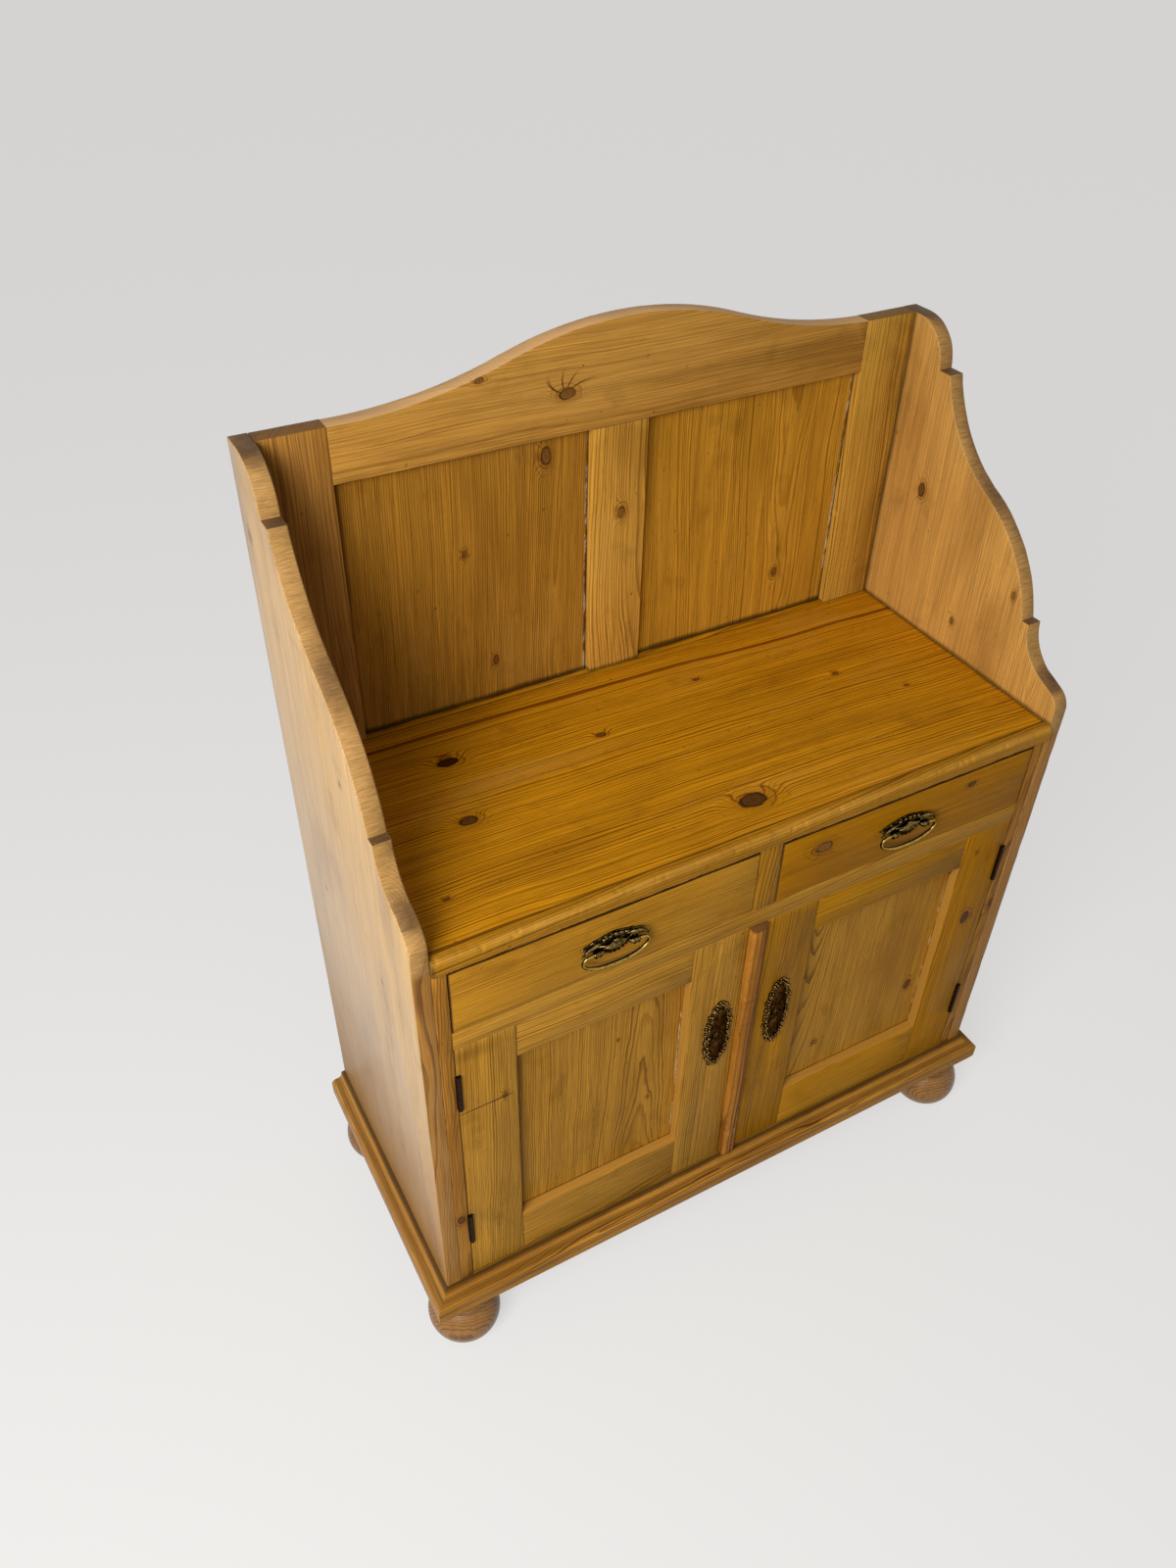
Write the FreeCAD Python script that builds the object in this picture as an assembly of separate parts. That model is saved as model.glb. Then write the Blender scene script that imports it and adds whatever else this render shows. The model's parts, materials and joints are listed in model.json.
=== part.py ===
import FreeCAD, Part
import os
from math import cos, pi

# A pine cupboard with a raised gallery: two shaped sides, a worktop, a framed back with a crest,
# two dovetailed drawers over two framed doors, a moulded plinth and four turned feet.
# Millimetres. X runs to the right, Y to the back and Z up. The origin is on the floor, under the
# middle of the outline that the front feet, the plinth and the back make.

# Driving dimensions of the carcass
case_width = 900.0
case_depth = 400.0
side_thickness = 22.0
housing_depth = 6.0
front_thickness = 22.0
strip_width = 17.0

# Driving dimensions of the worktop, the gallery and the back
worktop_thickness = 20.0
worktop_tongue = 12.0
nosing_height = 23.0
nosing_depth = 16.0
nosing_projection = 5.0
gallery_height = 406.0
crest_rise = 59.5
crest_rail_end_height = 65.0
back_thickness = 24.0
back_stile_width = 75.0
back_muntin_width = 75.0
back_panel_thickness = 8.0
back_panel_recess = 12.0
panel_tongue = 8.0
back_board_thickness = 12.0
back_board_count = 5
back_board_gap = 0.4
back_lap = 12.0

# Driving dimensions of the plinth and the feet
foot_height = 94.0
foot_width = 102.0
foot_overhang = 8.0
foot_tenon_diameter = 30.0
foot_tenon_length = 34.0
foot_fit = 0.05
plinth_height = 50.0
plinth_projection = 23.0
plinth_rail_width = 80.0
plinth_back_width = 45.0

# Driving dimensions of the doors
door_height = 478.0
door_thickness = 21.0
door_gap = 1.2
hinge_stile_width = 75.0
meeting_stile_width = 79.0
door_top_rail_height = 56.0
door_bottom_rail_height = 84.0
door_panel_thickness = 7.0
door_panel_recess = 13.5
tenon_thickness = 7.0
tenon_length = 45.0
tenon_shoulder = 10.0
meeting_strip_width = 26.0
meeting_strip_projection = 10.0
meeting_strip_shift = 3.4
sill_height = 4.5
bottom_thickness = 18.0
shelf_thickness = 18.0
shelf_setback = 22.0
cleat_size = 20.0

# Driving dimensions of the drawers and what carries them
drawer_front_height = 95.0
drawer_gap = 1.5
drawer_top_gap = 6.3
drawer_side_height = 84.0
drawer_side_thickness = 12.0
drawer_back_gap = 25.0
drawer_bottom_thickness = 7.0
drawer_bottom_rise = 9.0
drawer_groove = 5.0
dovetail_lap = 8.0
dovetail_count = 3
drawer_rail_height = 27.0
drawer_rail_depth = 60.0
divider_width = 31.0
runner_height = 22.0
runner_ledge = 24.0
guide_height = 30.0
running_gap = 0.3

# Driving dimensions of the hinges
hinge_length = 63.5
hinge_barrel_radius = 3.2
hinge_pin_radius = 1.6
hinge_pin_fit = 0.06
hinge_leaf_thickness = 2.0
hinge_leaf_width = 14.0
hinge_leaf_gap = 0.2
hinge_knuckles = 5
hinge_knuckle_gap = 0.3
hinge_face_gap = 0.35
hinge_proud = 0.9
upper_hinge_drop = 78.0
lower_hinge_rise = 110.0

# Driving dimensions of the pulls, the key plates and the lock
pull_width = 90.0
pull_plate_height = 31.0
pull_plate_thickness = 2.0
pull_plate_dome = 6.8
pull_plate_roll = 23.0
pull_reach = 10.0
pull_drop = 28.5
left_pull_shift = 0.8
right_pull_shift = -5.8
bail_radius = 2.4
ear_radius = 4.6
ear_length = 6.0
ear_spacing = 49.0
ear_fit = 0.1
ear_end_gap = 0.4
key_plate_height = 129.0
key_plate_width = 40.0
key_plate_thickness = 2.2
key_plate_dome = 1.6
key_plate_roll = 1300.0
key_plate_setback = 30.0
key_plate_extra_setback = 8.0
key_plate_centre_share = 0.6145
right_key_plate_drop = 6.0
keyhole_radius = 3.4
keyhole_length = 15.0
lock_width = 58.0
lock_height = 44.0
lock_thickness = 9.0
bolt_height = 12.0
bolt_thickness = 5.0
bolt_length = 34.0
bolt_throw = 8.0
bolt_gap = 0.3

# How the small forms share out the sizes above
shelf_rise_share = 0.45
nosing_round_share = 0.38
nosing_ease_share = 0.16
meeting_round_share = 0.35
tail_root_share = 0.58
tail_tip_share = 0.80
keyhole_slot_share = 0.55
crown_reach_share = 1.06
ear_stem_share = 0.7
bail_turn_share = 0.28
bail_side_share = 0.62
bail_corner_share = 0.885
bail_bow_share = 0.58
bail_low_share = 0.85

# One overrun for every cut that has to pass right through
overrun = 2.0

# Places that follow from the driving dimensions
half_width = case_width / 2
inner_x = half_width - side_thickness
strip_x = inner_x - strip_width
front_y = (plinth_projection + foot_overhang - case_depth) / 2
back_y = front_y + case_depth
case_z = foot_height + plinth_height
door_z = case_z + sill_height + door_gap
door_top_z = door_z + door_height
rail_z = door_top_z + door_gap
rail_top_z = rail_z + drawer_rail_height
drawer_z = rail_top_z + drawer_gap
drawer_top_z = drawer_z + drawer_front_height
nosing_z = drawer_top_z + drawer_top_gap
worktop_z = nosing_z + nosing_height
worktop_under_z = worktop_z - worktop_thickness
side_top_z = worktop_z + gallery_height
frame_y = back_y - back_thickness
board_y = back_y - back_board_thickness
nosing_back_y = front_y - nosing_projection + nosing_depth
strip_centre_x = -meeting_strip_shift
strip_left_x = strip_centre_x - meeting_strip_width / 2
strip_right_x = strip_centre_x + meeting_strip_width / 2
hinge_x = strip_x - hinge_leaf_thickness - hinge_leaf_gap / 2
hinge_y = front_y - hinge_proud
hinge_heights = (door_top_z - upper_hinge_drop, door_z + lower_hinge_rise)
stile_x = inner_x - back_stile_width
runner_top_z = drawer_z - running_gap
drawer_back_y = frame_y - drawer_back_gap
key_z = door_z + door_height * key_plate_centre_share
pull_z = (drawer_z + drawer_top_z) / 2
pull_y = front_y - pull_reach

# The curves of a side's front edge, from the worktop up. Each row holds a curve's middle and its
# end, as shares of the case depth and of the gallery height. A row of one point is straight.
side_start_shares = (0.0, 0.040)
side_edge_shares = (
    ((0.0091, 0.0774), (0.0398, 0.1033)),
    ((0.095, 0.127),),
    ((0.1575, 0.176), (0.190, 0.266)),
    ((0.220, 0.266),),
    ((0.3121, 0.4455), (0.472, 0.5722)),
    ((0.598, 0.6527), (0.738, 0.8658)),
    ((0.790, 0.8658),),
    ((0.8303, 0.9607), (0.9275, 1.0)),
)

# The crest, from its left end to its right, as shares of half its length and of its rise. Its
# round stands a little right of the middle, as it was cut.
crest_start_shares = (-1.0, 0.0)
crest_edge_shares = (
    ((-0.708, 0.117), (-0.411, 0.554)),
    ((0.030, 1.0), (0.470, 0.554)),
    ((0.737, 0.150), (1.0, 0.0)),
)

# The plinth's moulded edge, from the case down, as shares of its projection and of its height.
# Rows are as in the side's edge.
plinth_start_shares = (0.13, 0.0)
plinth_edge_shares = (
    ((0.225, 0.018), (0.26, 0.06)),
    ((0.26, 0.10),),
    ((0.37, 0.20), (0.61, 0.24)),
    ((0.70, 0.24),),
    ((0.92, 0.30), (1.0, 0.42)),
    ((1.0, 0.80),),
    ((0.83, 1.0),),
)

# A foot's outline, from the floor up, as shares of half its width and of its height
foot_start_shares = (0.62, 0.0)
foot_edge_shares = (
    ((0.898, 0.163), (1.0, 0.38)),
    ((0.90, 0.615), (0.62, 0.80)),
    ((0.66, 0.83), (0.72, 0.84)),
    ((0.80, 0.88), (0.74, 0.93)),
    ((0.74, 1.0),),
)

# Half of a pull's back plate, from its lowest point round to its highest, as shares of half its
# width and of its height, measured from the line of the bail's ends
plate_start_shares = (0.0, -0.40)
plate_edge_shares = (
    ((0.17, -0.375), (0.33, -0.29)),
    ((0.45, -0.26), (0.58, -0.18)),
    ((0.80, -0.14), (0.97, 0.0)),
    ((0.92, 0.18), (0.76, 0.30)),
    ((0.62, 0.39), (0.46, 0.39)),
    ((0.25, 0.48), (0.0, 0.50)),
)

# Half of a key plate, from its lower tip to its upper one, as shares of half its width and height
key_plate_tip_shares = (0.0, -1.0)
key_plate_edge_shares = (
    ((0.42, -0.90), (0.66, -0.76)),
    ((0.907, -0.40), (1.0, 0.0)),
    ((0.907, 0.40), (0.66, 0.76)),
    ((0.42, 0.90), (0.0, 1.0)),
)


def box(x0, x1, y0, y1, z0, z1):
    low = FreeCAD.Vector(min(x0, x1), min(y0, y1), min(z0, z1))
    return Part.makeBox(abs(x1 - x0), abs(y1 - y0), abs(z1 - z0), low)


def curves(start, rows, place):
    """Edges through rows of points, where place turns a pair of shares into a point."""
    edges = []
    here = place(start)
    for row in rows:
        end = place(row[-1])
        if len(row) == 1:
            edges.append(Part.makeLine(here, end))
        else:
            edges.append(Part.Arc(here, place(row[0]), end).toShape())
        here = end
    return edges


def closed_face(edges, corners=()):
    """A face inside the edges, closed by straight lines through the corners."""
    start = edges[0].Vertexes[0].Point
    here = edges[-1].Vertexes[-1].Point
    lines = []
    for corner in list(corners) + [start]:
        lines.append(Part.makeLine(here, corner))
        here = corner
    return Part.Face(Part.Wire(edges + lines))


def polygon(points):
    return Part.Face(Part.makePolygon(list(points) + [points[0]]))


def mirrored(shape):
    """The same piece on the other side of the cupboard."""
    return shape.mirror(FreeCAD.Vector(0, 0, 0), FreeCAD.Vector(1, 0, 0))


def side_right():
    def place(share):
        return FreeCAD.Vector(
            inner_x, front_y + case_depth * share[0], worktop_z + gallery_height * share[1]
        )

    edge = curves(side_start_shares, side_edge_shares, place)
    corners = (
        FreeCAD.Vector(inner_x, back_y, side_top_z),
        FreeCAD.Vector(inner_x, back_y, case_z),
        FreeCAD.Vector(inner_x, front_y, case_z),
    )
    board = closed_face(edge, corners).extrude(FreeCAD.Vector(side_thickness, 0, 0))
    worktop_housing = box(
        inner_x - overrun,
        inner_x + housing_depth,
        nosing_back_y,
        frame_y,
        worktop_under_z,
        worktop_under_z + worktop_tongue,
    )
    bottom_housing = box(
        inner_x - overrun,
        inner_x + housing_depth,
        front_y + front_thickness,
        board_y,
        case_z - overrun,
        case_z + bottom_thickness,
    )
    return board.cut([worktop_housing, bottom_housing])


def worktop():
    """The worktop board, with a bare-faced tongue along each end for the side's housing."""
    reach = inner_x + housing_depth
    tongue_z = worktop_under_z + worktop_tongue
    board = box(-inner_x, inner_x, nosing_back_y, frame_y, worktop_under_z, worktop_z)
    tongues = box(-reach, reach, nosing_back_y, frame_y, worktop_under_z, tongue_z)
    return board.fuse(tongues).removeSplitter()


def worktop_nosing():
    """A strip along the worktop's front edge, rounded over its top and eased below."""
    front = front_y - nosing_projection
    top_radius = nosing_height * nosing_round_share
    low_radius = nosing_height * nosing_ease_share
    strip = box(-inner_x, inner_x, front, nosing_back_y, nosing_z, worktop_z)
    strip = strip.makeFillet(top_radius, [long_edge(strip, front, worktop_z)])
    return strip.makeFillet(low_radius, [long_edge(strip, front, nosing_z)])


def long_edge(shape, y, z):
    """The edge along X that lies at this depth and height."""
    def distance(edge):
        middle = edge.CenterOfMass
        return abs(middle.y - y) + abs(middle.z - z) + abs(edge.Vertexes[0].Y - edge.Vertexes[-1].Y)

    along = [edge for edge in shape.Edges if edge.Length > case_width / 2]
    return min(along, key=distance)


def knuckle_clearance(z):
    """The round space that a right-hand hinge's knuckles need, half let into the strip and door."""
    radius = hinge_barrel_radius + hinge_face_gap
    return Part.makeCylinder(radius, hinge_length, FreeCAD.Vector(hinge_x, hinge_y, z - hinge_length / 2))


def hinge_recess(z):
    """The space that both leaves of a right-hand hinge fill, all of it let into the door's edge."""
    leaves = box(
        hinge_x - hinge_leaf_gap / 2 - hinge_leaf_thickness,
        strip_x,
        front_y - overrun,
        hinge_y + hinge_barrel_radius + hinge_leaf_width,
        z - hinge_length / 2,
        z + hinge_length / 2,
    )
    return leaves.fuse(knuckle_clearance(z))


def front_strip_right():
    strip = box(strip_x, inner_x, front_y, front_y + front_thickness, case_z, nosing_z)
    return strip.cut([knuckle_clearance(z) for z in hinge_heights])


def bottom_board():
    """The case bottom, rebated along its front into a low sill between the strips."""
    reach = inner_x + housing_depth
    behind = front_y + front_thickness
    board = box(-reach, reach, behind, board_y, case_z, case_z + bottom_thickness)
    sill = box(-strip_x, strip_x, front_y, behind, case_z, case_z + sill_height)
    return board.fuse(sill).removeSplitter()


def shelf_z():
    low = case_z + bottom_thickness
    return low + (rail_z - low) * shelf_rise_share


def shelf():
    y0 = front_y + door_thickness + shelf_setback
    return box(-inner_x, inner_x, y0, board_y, shelf_z(), shelf_z() + shelf_thickness)


def shelf_cleats():
    y0 = front_y + door_thickness + shelf_setback + cleat_size
    cleat = box(inner_x - cleat_size, inner_x, y0, board_y, shelf_z() - cleat_size, shelf_z())
    return Part.makeCompound([mirrored(cleat), cleat])


def drawer_rail():
    """The rail between drawers and doors. Behind the strips it widens to reach both sides."""
    behind = front_y + front_thickness
    front = box(-strip_x, strip_x, front_y, behind, rail_z, rail_top_z)
    rear = box(-inner_x, inner_x, behind, front_y + drawer_rail_depth, rail_z, rail_top_z)
    return front.fuse(rear).removeSplitter()


def drawer_divider():
    """The post between the drawers, notched at its top round the nosing."""
    half = divider_width / 2
    back = front_y + drawer_rail_depth
    low = box(-half, half, front_y, back, rail_top_z, nosing_z)
    high = box(-half, half, nosing_back_y, back, nosing_z, worktop_under_z)
    return low.fuse(high).removeSplitter()


def side_runners():
    """An L-section each side: the ledge carries a drawer side and the upright guides it."""
    y0 = front_y + drawer_rail_depth
    low_z = runner_top_z - runner_height
    ledge = box(strip_x - runner_ledge, inner_x, y0, frame_y, low_z, runner_top_z)
    guide = box(strip_x, inner_x, y0, frame_y, runner_top_z, runner_top_z + guide_height)
    runner = ledge.fuse(guide).removeSplitter()
    return Part.makeCompound([mirrored(runner), runner])


def centre_runner():
    """A T-section between the drawers, from the front rail to the back frame."""
    half = divider_width / 2
    y0 = front_y + drawer_rail_depth
    low_z = runner_top_z - runner_height
    ledge = box(-half - runner_ledge, half + runner_ledge, y0, frame_y, low_z, runner_top_z)
    guide = box(-half, half, y0, frame_y, runner_top_z, runner_top_z + guide_height)
    return ledge.fuse(guide).removeSplitter()


def back_groove(x0, x1, z0, z1):
    """A groove for the gallery panels' tongues."""
    y0 = frame_y + back_panel_recess
    return box(x0, x1, y0, y0 + back_panel_thickness, z0, z1)


def back_tenon(x0, x1, z0, z1):
    """A tenon in the middle of the back frame's thickness."""
    middle = (frame_y + back_y) / 2
    return box(x0, x1, middle - tenon_thickness / 2, middle + tenon_thickness / 2, z0, z1)


def crest_z():
    """The lower edge of the crest rail."""
    return side_top_z - crest_rail_end_height


def crest_tenon(side):
    """The crest rail's tenon at one end, where side is -1 on the left and 1 on the right."""
    return back_tenon(
        side * stile_x,
        side * (stile_x + tenon_length),
        crest_z() + tenon_shoulder,
        side_top_z - tenon_shoulder,
    )


def middle_tenon(side):
    return back_tenon(
        side * stile_x,
        side * (stile_x + tenon_length),
        rail_z + back_lap + tenon_shoulder,
        worktop_z - panel_tongue - tenon_shoulder,
    )


def back_stile_right():
    stile = box(stile_x, inner_x, frame_y, back_y, rail_z, side_top_z)
    groove = back_groove(stile_x, stile_x + panel_tongue, worktop_z - panel_tongue, crest_z() + panel_tongue)
    rebate = box(stile_x, inner_x, board_y, back_y, rail_z, rail_z + back_lap)
    return stile.cut([groove, crest_tenon(1), middle_tenon(1), rebate])


def crest_rail():
    """The shaped top rail: hollow at each end and round over the middle."""
    def place(share):
        return FreeCAD.Vector(stile_x * share[0], frame_y, side_top_z + crest_rise * share[1])

    edge = curves(crest_start_shares, crest_edge_shares, place)
    corners = (FreeCAD.Vector(stile_x, frame_y, crest_z()), FreeCAD.Vector(-stile_x, frame_y, crest_z()))
    rail = closed_face(edge, corners).extrude(FreeCAD.Vector(0, back_thickness, 0))
    groove = back_groove(-stile_x, stile_x, crest_z(), crest_z() + panel_tongue)
    rail = rail.fuse([crest_tenon(-1), crest_tenon(1)]).removeSplitter()
    return rail.cut(groove)


def back_middle_rail():
    """The wide rail behind the worktop and the drawers, lapped below over the back boards."""
    rail = box(-stile_x, stile_x, frame_y, back_y, rail_z, worktop_z)
    groove = back_groove(-stile_x, stile_x, worktop_z - panel_tongue, worktop_z)
    rebate = box(-stile_x, stile_x, board_y, back_y, rail_z, rail_z + back_lap)
    rail = rail.fuse([middle_tenon(-1), middle_tenon(1)]).removeSplitter()
    return rail.cut([groove, rebate])


def back_muntin():
    """The upright between the panels, with stub tongues in the grooves of both rails."""
    half = back_muntin_width / 2
    post = box(-half, half, frame_y, back_y, worktop_z, crest_z())
    tongues = back_groove(-half, half, worktop_z - panel_tongue, crest_z() + panel_tongue)
    inset = half - panel_tongue
    post = post.fuse(tongues).removeSplitter()
    left = back_groove(-half, -inset, worktop_z - panel_tongue, crest_z() + panel_tongue)
    right = back_groove(inset, half, worktop_z - panel_tongue, crest_z() + panel_tongue)
    return post.cut([left, right])


def back_panel_right():
    return back_groove(
        back_muntin_width / 2 - panel_tongue,
        stile_x + panel_tongue,
        worktop_z - panel_tongue,
        crest_z() + panel_tongue,
    )


def lower_back_boards():
    """Upright boards, lapped under the middle rail and nailed to the case bottom."""
    pitch = 2 * inner_x / back_board_count
    boards = []
    for index in range(back_board_count):
        x0 = -inner_x + pitch * index + back_board_gap / 2
        x1 = x0 + pitch - back_board_gap
        boards.append(box(x0, x1, board_y, back_y, case_z, rail_z + back_lap))
    return Part.makeCompound(boards)


def plinth_face(place):
    """The moulded section, where place turns outward and downward shares into a point."""
    edge = curves(plinth_start_shares, plinth_edge_shares, place)
    inward = -plinth_rail_width / plinth_projection + 1
    return closed_face(edge, (place((inward, 1)), place((inward, 0))))


def plan(points, z0, z1):
    """A prism that cuts a moulding to its plan, mitres included."""
    corners = [FreeCAD.Vector(x, y, z0) for x, y in points]
    return polygon(corners).extrude(FreeCAD.Vector(0, 0, z1 - z0))


def foot_places():
    """Each foot's name with its place. The front feet bulge out before the plinth."""
    x = half_width + plinth_projection - foot_width / 2
    y0 = front_y - plinth_projection - foot_overhang + foot_width / 2
    y1 = back_y - foot_width / 2
    return {"front_left": (-x, y0), "front_right": (x, y0), "back_left": (-x, y1), "back_right": (x, y1)}


def foot_sockets():
    radius = foot_tenon_diameter / 2 + foot_fit
    sockets = []
    for x, y in foot_places().values():
        low = FreeCAD.Vector(x, y, foot_height - overrun)
        sockets.append(Part.makeCylinder(radius, foot_tenon_length + overrun + foot_fit, low))
    return sockets


def plinth_front():
    out_x = half_width + plinth_projection
    out_y = front_y - plinth_projection
    in_x = out_x - plinth_rail_width
    in_y = out_y + plinth_rail_width

    def place(share):
        y = front_y - plinth_projection * share[0]
        return FreeCAD.Vector(-out_x, y, case_z - plinth_height * share[1])

    rail = plinth_face(place).extrude(FreeCAD.Vector(2 * out_x, 0, 0))
    points = ((-out_x, out_y), (out_x, out_y), (in_x, in_y), (-in_x, in_y))
    rail = rail.common(plan(points, foot_height, case_z))
    return rail.cut(foot_sockets())


def plinth_right():
    out_x = half_width + plinth_projection
    out_y = front_y - plinth_projection
    in_x = out_x - plinth_rail_width
    in_y = out_y + plinth_rail_width

    def place(share):
        x = half_width + plinth_projection * share[0]
        return FreeCAD.Vector(x, out_y, case_z - plinth_height * share[1])

    rail = plinth_face(place).extrude(FreeCAD.Vector(0, back_y - out_y, 0))
    points = ((out_x, out_y), (out_x, back_y), (in_x, back_y), (in_x, in_y))
    rail = rail.common(plan(points, foot_height, case_z))
    return rail.cut(foot_sockets())


def plinth_back():
    in_x = half_width + plinth_projection - plinth_rail_width
    return box(-in_x, in_x, back_y - plinth_back_width, back_y, foot_height, case_z)


def foot(x, y):
    """A turned bun foot on a short neck, with its tenon in one piece."""
    radius = foot_width / 2

    def place(share):
        return FreeCAD.Vector(x + radius * share[0], y, foot_height * share[1])

    edge = curves(foot_start_shares, foot_edge_shares, place)
    tenon = foot_tenon_diameter / 2
    corners = (
        FreeCAD.Vector(x + tenon, y, foot_height),
        FreeCAD.Vector(x + tenon, y, foot_height + foot_tenon_length),
        FreeCAD.Vector(x, y, foot_height + foot_tenon_length),
        FreeCAD.Vector(x, y, 0),
    )
    return closed_face(edge, corners).revolve(FreeCAD.Vector(x, y, 0), FreeCAD.Vector(0, 0, 1), 360)


def knuckle_spans(z):
    """The height of each knuckle of one hinge, from the bottom up."""
    pitch = hinge_length / hinge_knuckles
    low = z - hinge_length / 2 + hinge_knuckle_gap / 2
    spans = []
    for index in range(hinge_knuckles):
        z0 = low + pitch * index
        spans.append((z0, z0 + pitch - hinge_knuckle_gap))
    return spans


def hinge_leaf(z, first, outward):
    """One leaf of a right-hand hinge with every second knuckle from the first. The case leaf lies
    outward of the pin and the door leaf inward."""
    bore = Part.makeCylinder(
        hinge_pin_radius + hinge_pin_fit,
        hinge_length + 2 * overrun,
        FreeCAD.Vector(hinge_x, hinge_y, z - hinge_length / 2 - overrun),
    )
    near = hinge_x + outward * hinge_leaf_gap / 2
    far = near + outward * hinge_leaf_thickness
    plate_y = hinge_y + hinge_barrel_radius + hinge_face_gap
    back = hinge_y + hinge_barrel_radius + hinge_leaf_width
    solids = [box(near, far, plate_y, back, z - hinge_length / 2, z + hinge_length / 2)]
    for z0, z1 in knuckle_spans(z)[first::2]:
        low = FreeCAD.Vector(hinge_x, hinge_y, z0)
        solids.append(Part.makeCylinder(hinge_barrel_radius, z1 - z0, low))
        solids.append(box(near, far, hinge_y, plate_y + hinge_face_gap, z0, z1))
    return solids[0].fuse(solids[1:]).cut(bore).removeSplitter()


def hinge_case_leaves():
    leaves = []
    for z in hinge_heights:
        leaf = hinge_leaf(z, 0, 1)
        leaves += [mirrored(leaf), leaf]
    return Part.makeCompound(leaves)


def hinge_door_leaves():
    return Part.makeCompound([hinge_leaf(z, 1, -1) for z in hinge_heights])


def hinge_pins():
    pins = []
    for z in hinge_heights:
        for x in (-hinge_x, hinge_x):
            low = FreeCAD.Vector(x, hinge_y, z - hinge_length / 2)
            pins.append(Part.makeCylinder(hinge_pin_radius, hinge_length, low))
    return Part.makeCompound(pins)


def door_groove(x0, x1, z0, z1):
    y0 = front_y + door_panel_recess
    return box(x0, x1, y0, y0 + door_panel_thickness, z0, z1)


def door_tenon(x0, x1, z0, z1):
    middle = front_y + door_thickness / 2
    return box(x0, x1, middle - tenon_thickness / 2, middle + tenon_thickness / 2, z0, z1)


def door_pieces(x0, x1, left_width, right_width):
    """The stiles, rails and panel of a door that lies between two heights and two edges."""
    in0 = x0 + left_width
    in1 = x1 - right_width
    y1 = front_y + door_thickness
    low = door_z + door_bottom_rail_height
    high = door_top_z - door_top_rail_height
    groove_z0 = low - panel_tongue
    groove_z1 = high + panel_tongue
    tenons = []
    for foot_z, head_z in ((door_z, groove_z0), (groove_z1, door_top_z)):
        bottom = foot_z + tenon_shoulder
        top = head_z - tenon_shoulder
        left_tenon = door_tenon(in0 - tenon_length, in0, bottom, top)
        right_tenon = door_tenon(in1, in1 + tenon_length, bottom, top)
        tenons.append((left_tenon, right_tenon))
    lower, upper = tenons
    left = box(x0, in0, front_y, y1, door_z, door_top_z)
    left = left.cut([lower[0], upper[0], door_groove(in0 - panel_tongue, in0, groove_z0, groove_z1)])
    right = box(in1, x1, front_y, y1, door_z, door_top_z)
    right = right.cut([lower[1], upper[1], door_groove(in1, in1 + panel_tongue, groove_z0, groove_z1)])
    bottom_rail = box(in0, in1, front_y, y1, door_z, low).fuse(list(lower)).removeSplitter()
    bottom_rail = bottom_rail.cut(door_groove(in0, in1, groove_z0, low))
    top_rail = box(in0, in1, front_y, y1, high, door_top_z).fuse(list(upper)).removeSplitter()
    top_rail = top_rail.cut(door_groove(in0, in1, high, groove_z1))
    panel = door_groove(in0 - panel_tongue, in1 + panel_tongue, groove_z0, groove_z1)
    return {
        "left_stile": left,
        "right_stile": right,
        "bottom_rail": bottom_rail,
        "top_rail": top_rail,
        "panel": panel,
    }


def key_x(side):
    """The middle of a key plate, set back from the door's edge beside the meeting strip."""
    if side < 0:
        return strip_left_x - door_gap - key_plate_setback
    return strip_right_x + key_plate_setback + key_plate_extra_setback


def key_plate_z(side):
    """The height of a key plate's middle. The right one was fixed a little lower."""
    if side < 0:
        return key_z
    return key_z - right_key_plate_drop


def keyhole(side, y0, y1):
    """A keyhole: a round eye over a narrower slot."""
    x = key_x(side)
    z = key_plate_z(side)
    eye = Part.makeCylinder(keyhole_radius, y1 - y0, FreeCAD.Vector(x, y0, z), FreeCAD.Vector(0, 1, 0))
    half = keyhole_radius * keyhole_slot_share
    slot = box(x - half, x + half, y0, y1, z - keyhole_length + keyhole_radius, z)
    return eye.fuse(slot)


def domed(face, thickness, dome, width, roll):
    """A cast plate with its back round the origin. Its front bows from end to end along X, down to
    the plate's thickness, and rolls over from top to bottom."""
    reach = width / 2 * crown_reach_share
    front = thickness + dome
    bow = Part.Arc(
        FreeCAD.Vector(-reach, -thickness, 0),
        FreeCAD.Vector(0, -front, 0),
        FreeCAD.Vector(reach, -thickness, 0),
    )
    axis_y = roll - front
    corners = (FreeCAD.Vector(reach, axis_y, 0), FreeCAD.Vector(-reach, axis_y, 0))
    barrel = closed_face([bow.toShape()], corners)
    barrel = barrel.revolve(FreeCAD.Vector(0, axis_y, 0), FreeCAD.Vector(1, 0, 0), 360)
    return face.extrude(FreeCAD.Vector(0, -front, 0)).common(barrel)


def key_plate(side):
    """A pointed oval plate with its keyhole, shaped round the origin and then set on its door."""

    def right(share):
        return FreeCAD.Vector(key_plate_width / 2 * share[0], 0, key_plate_height / 2 * share[1])

    def left(share):
        return right((-share[0], share[1]))

    tip = key_plate_tip_shares
    edges = curves(tip, key_plate_edge_shares, right)
    others = curves(tip, key_plate_edge_shares, left)
    face = Part.Face(Part.Wire(Part.__sortEdges__(edges + others)))
    plate = domed(face, key_plate_thickness, key_plate_dome, key_plate_width, key_plate_roll)
    plate = plate.translated(FreeCAD.Vector(key_x(side), front_y, key_plate_z(side)))
    front = front_y - key_plate_thickness - key_plate_dome
    return plate.cut(keyhole(side, front - overrun, front_y + overrun))


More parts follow.
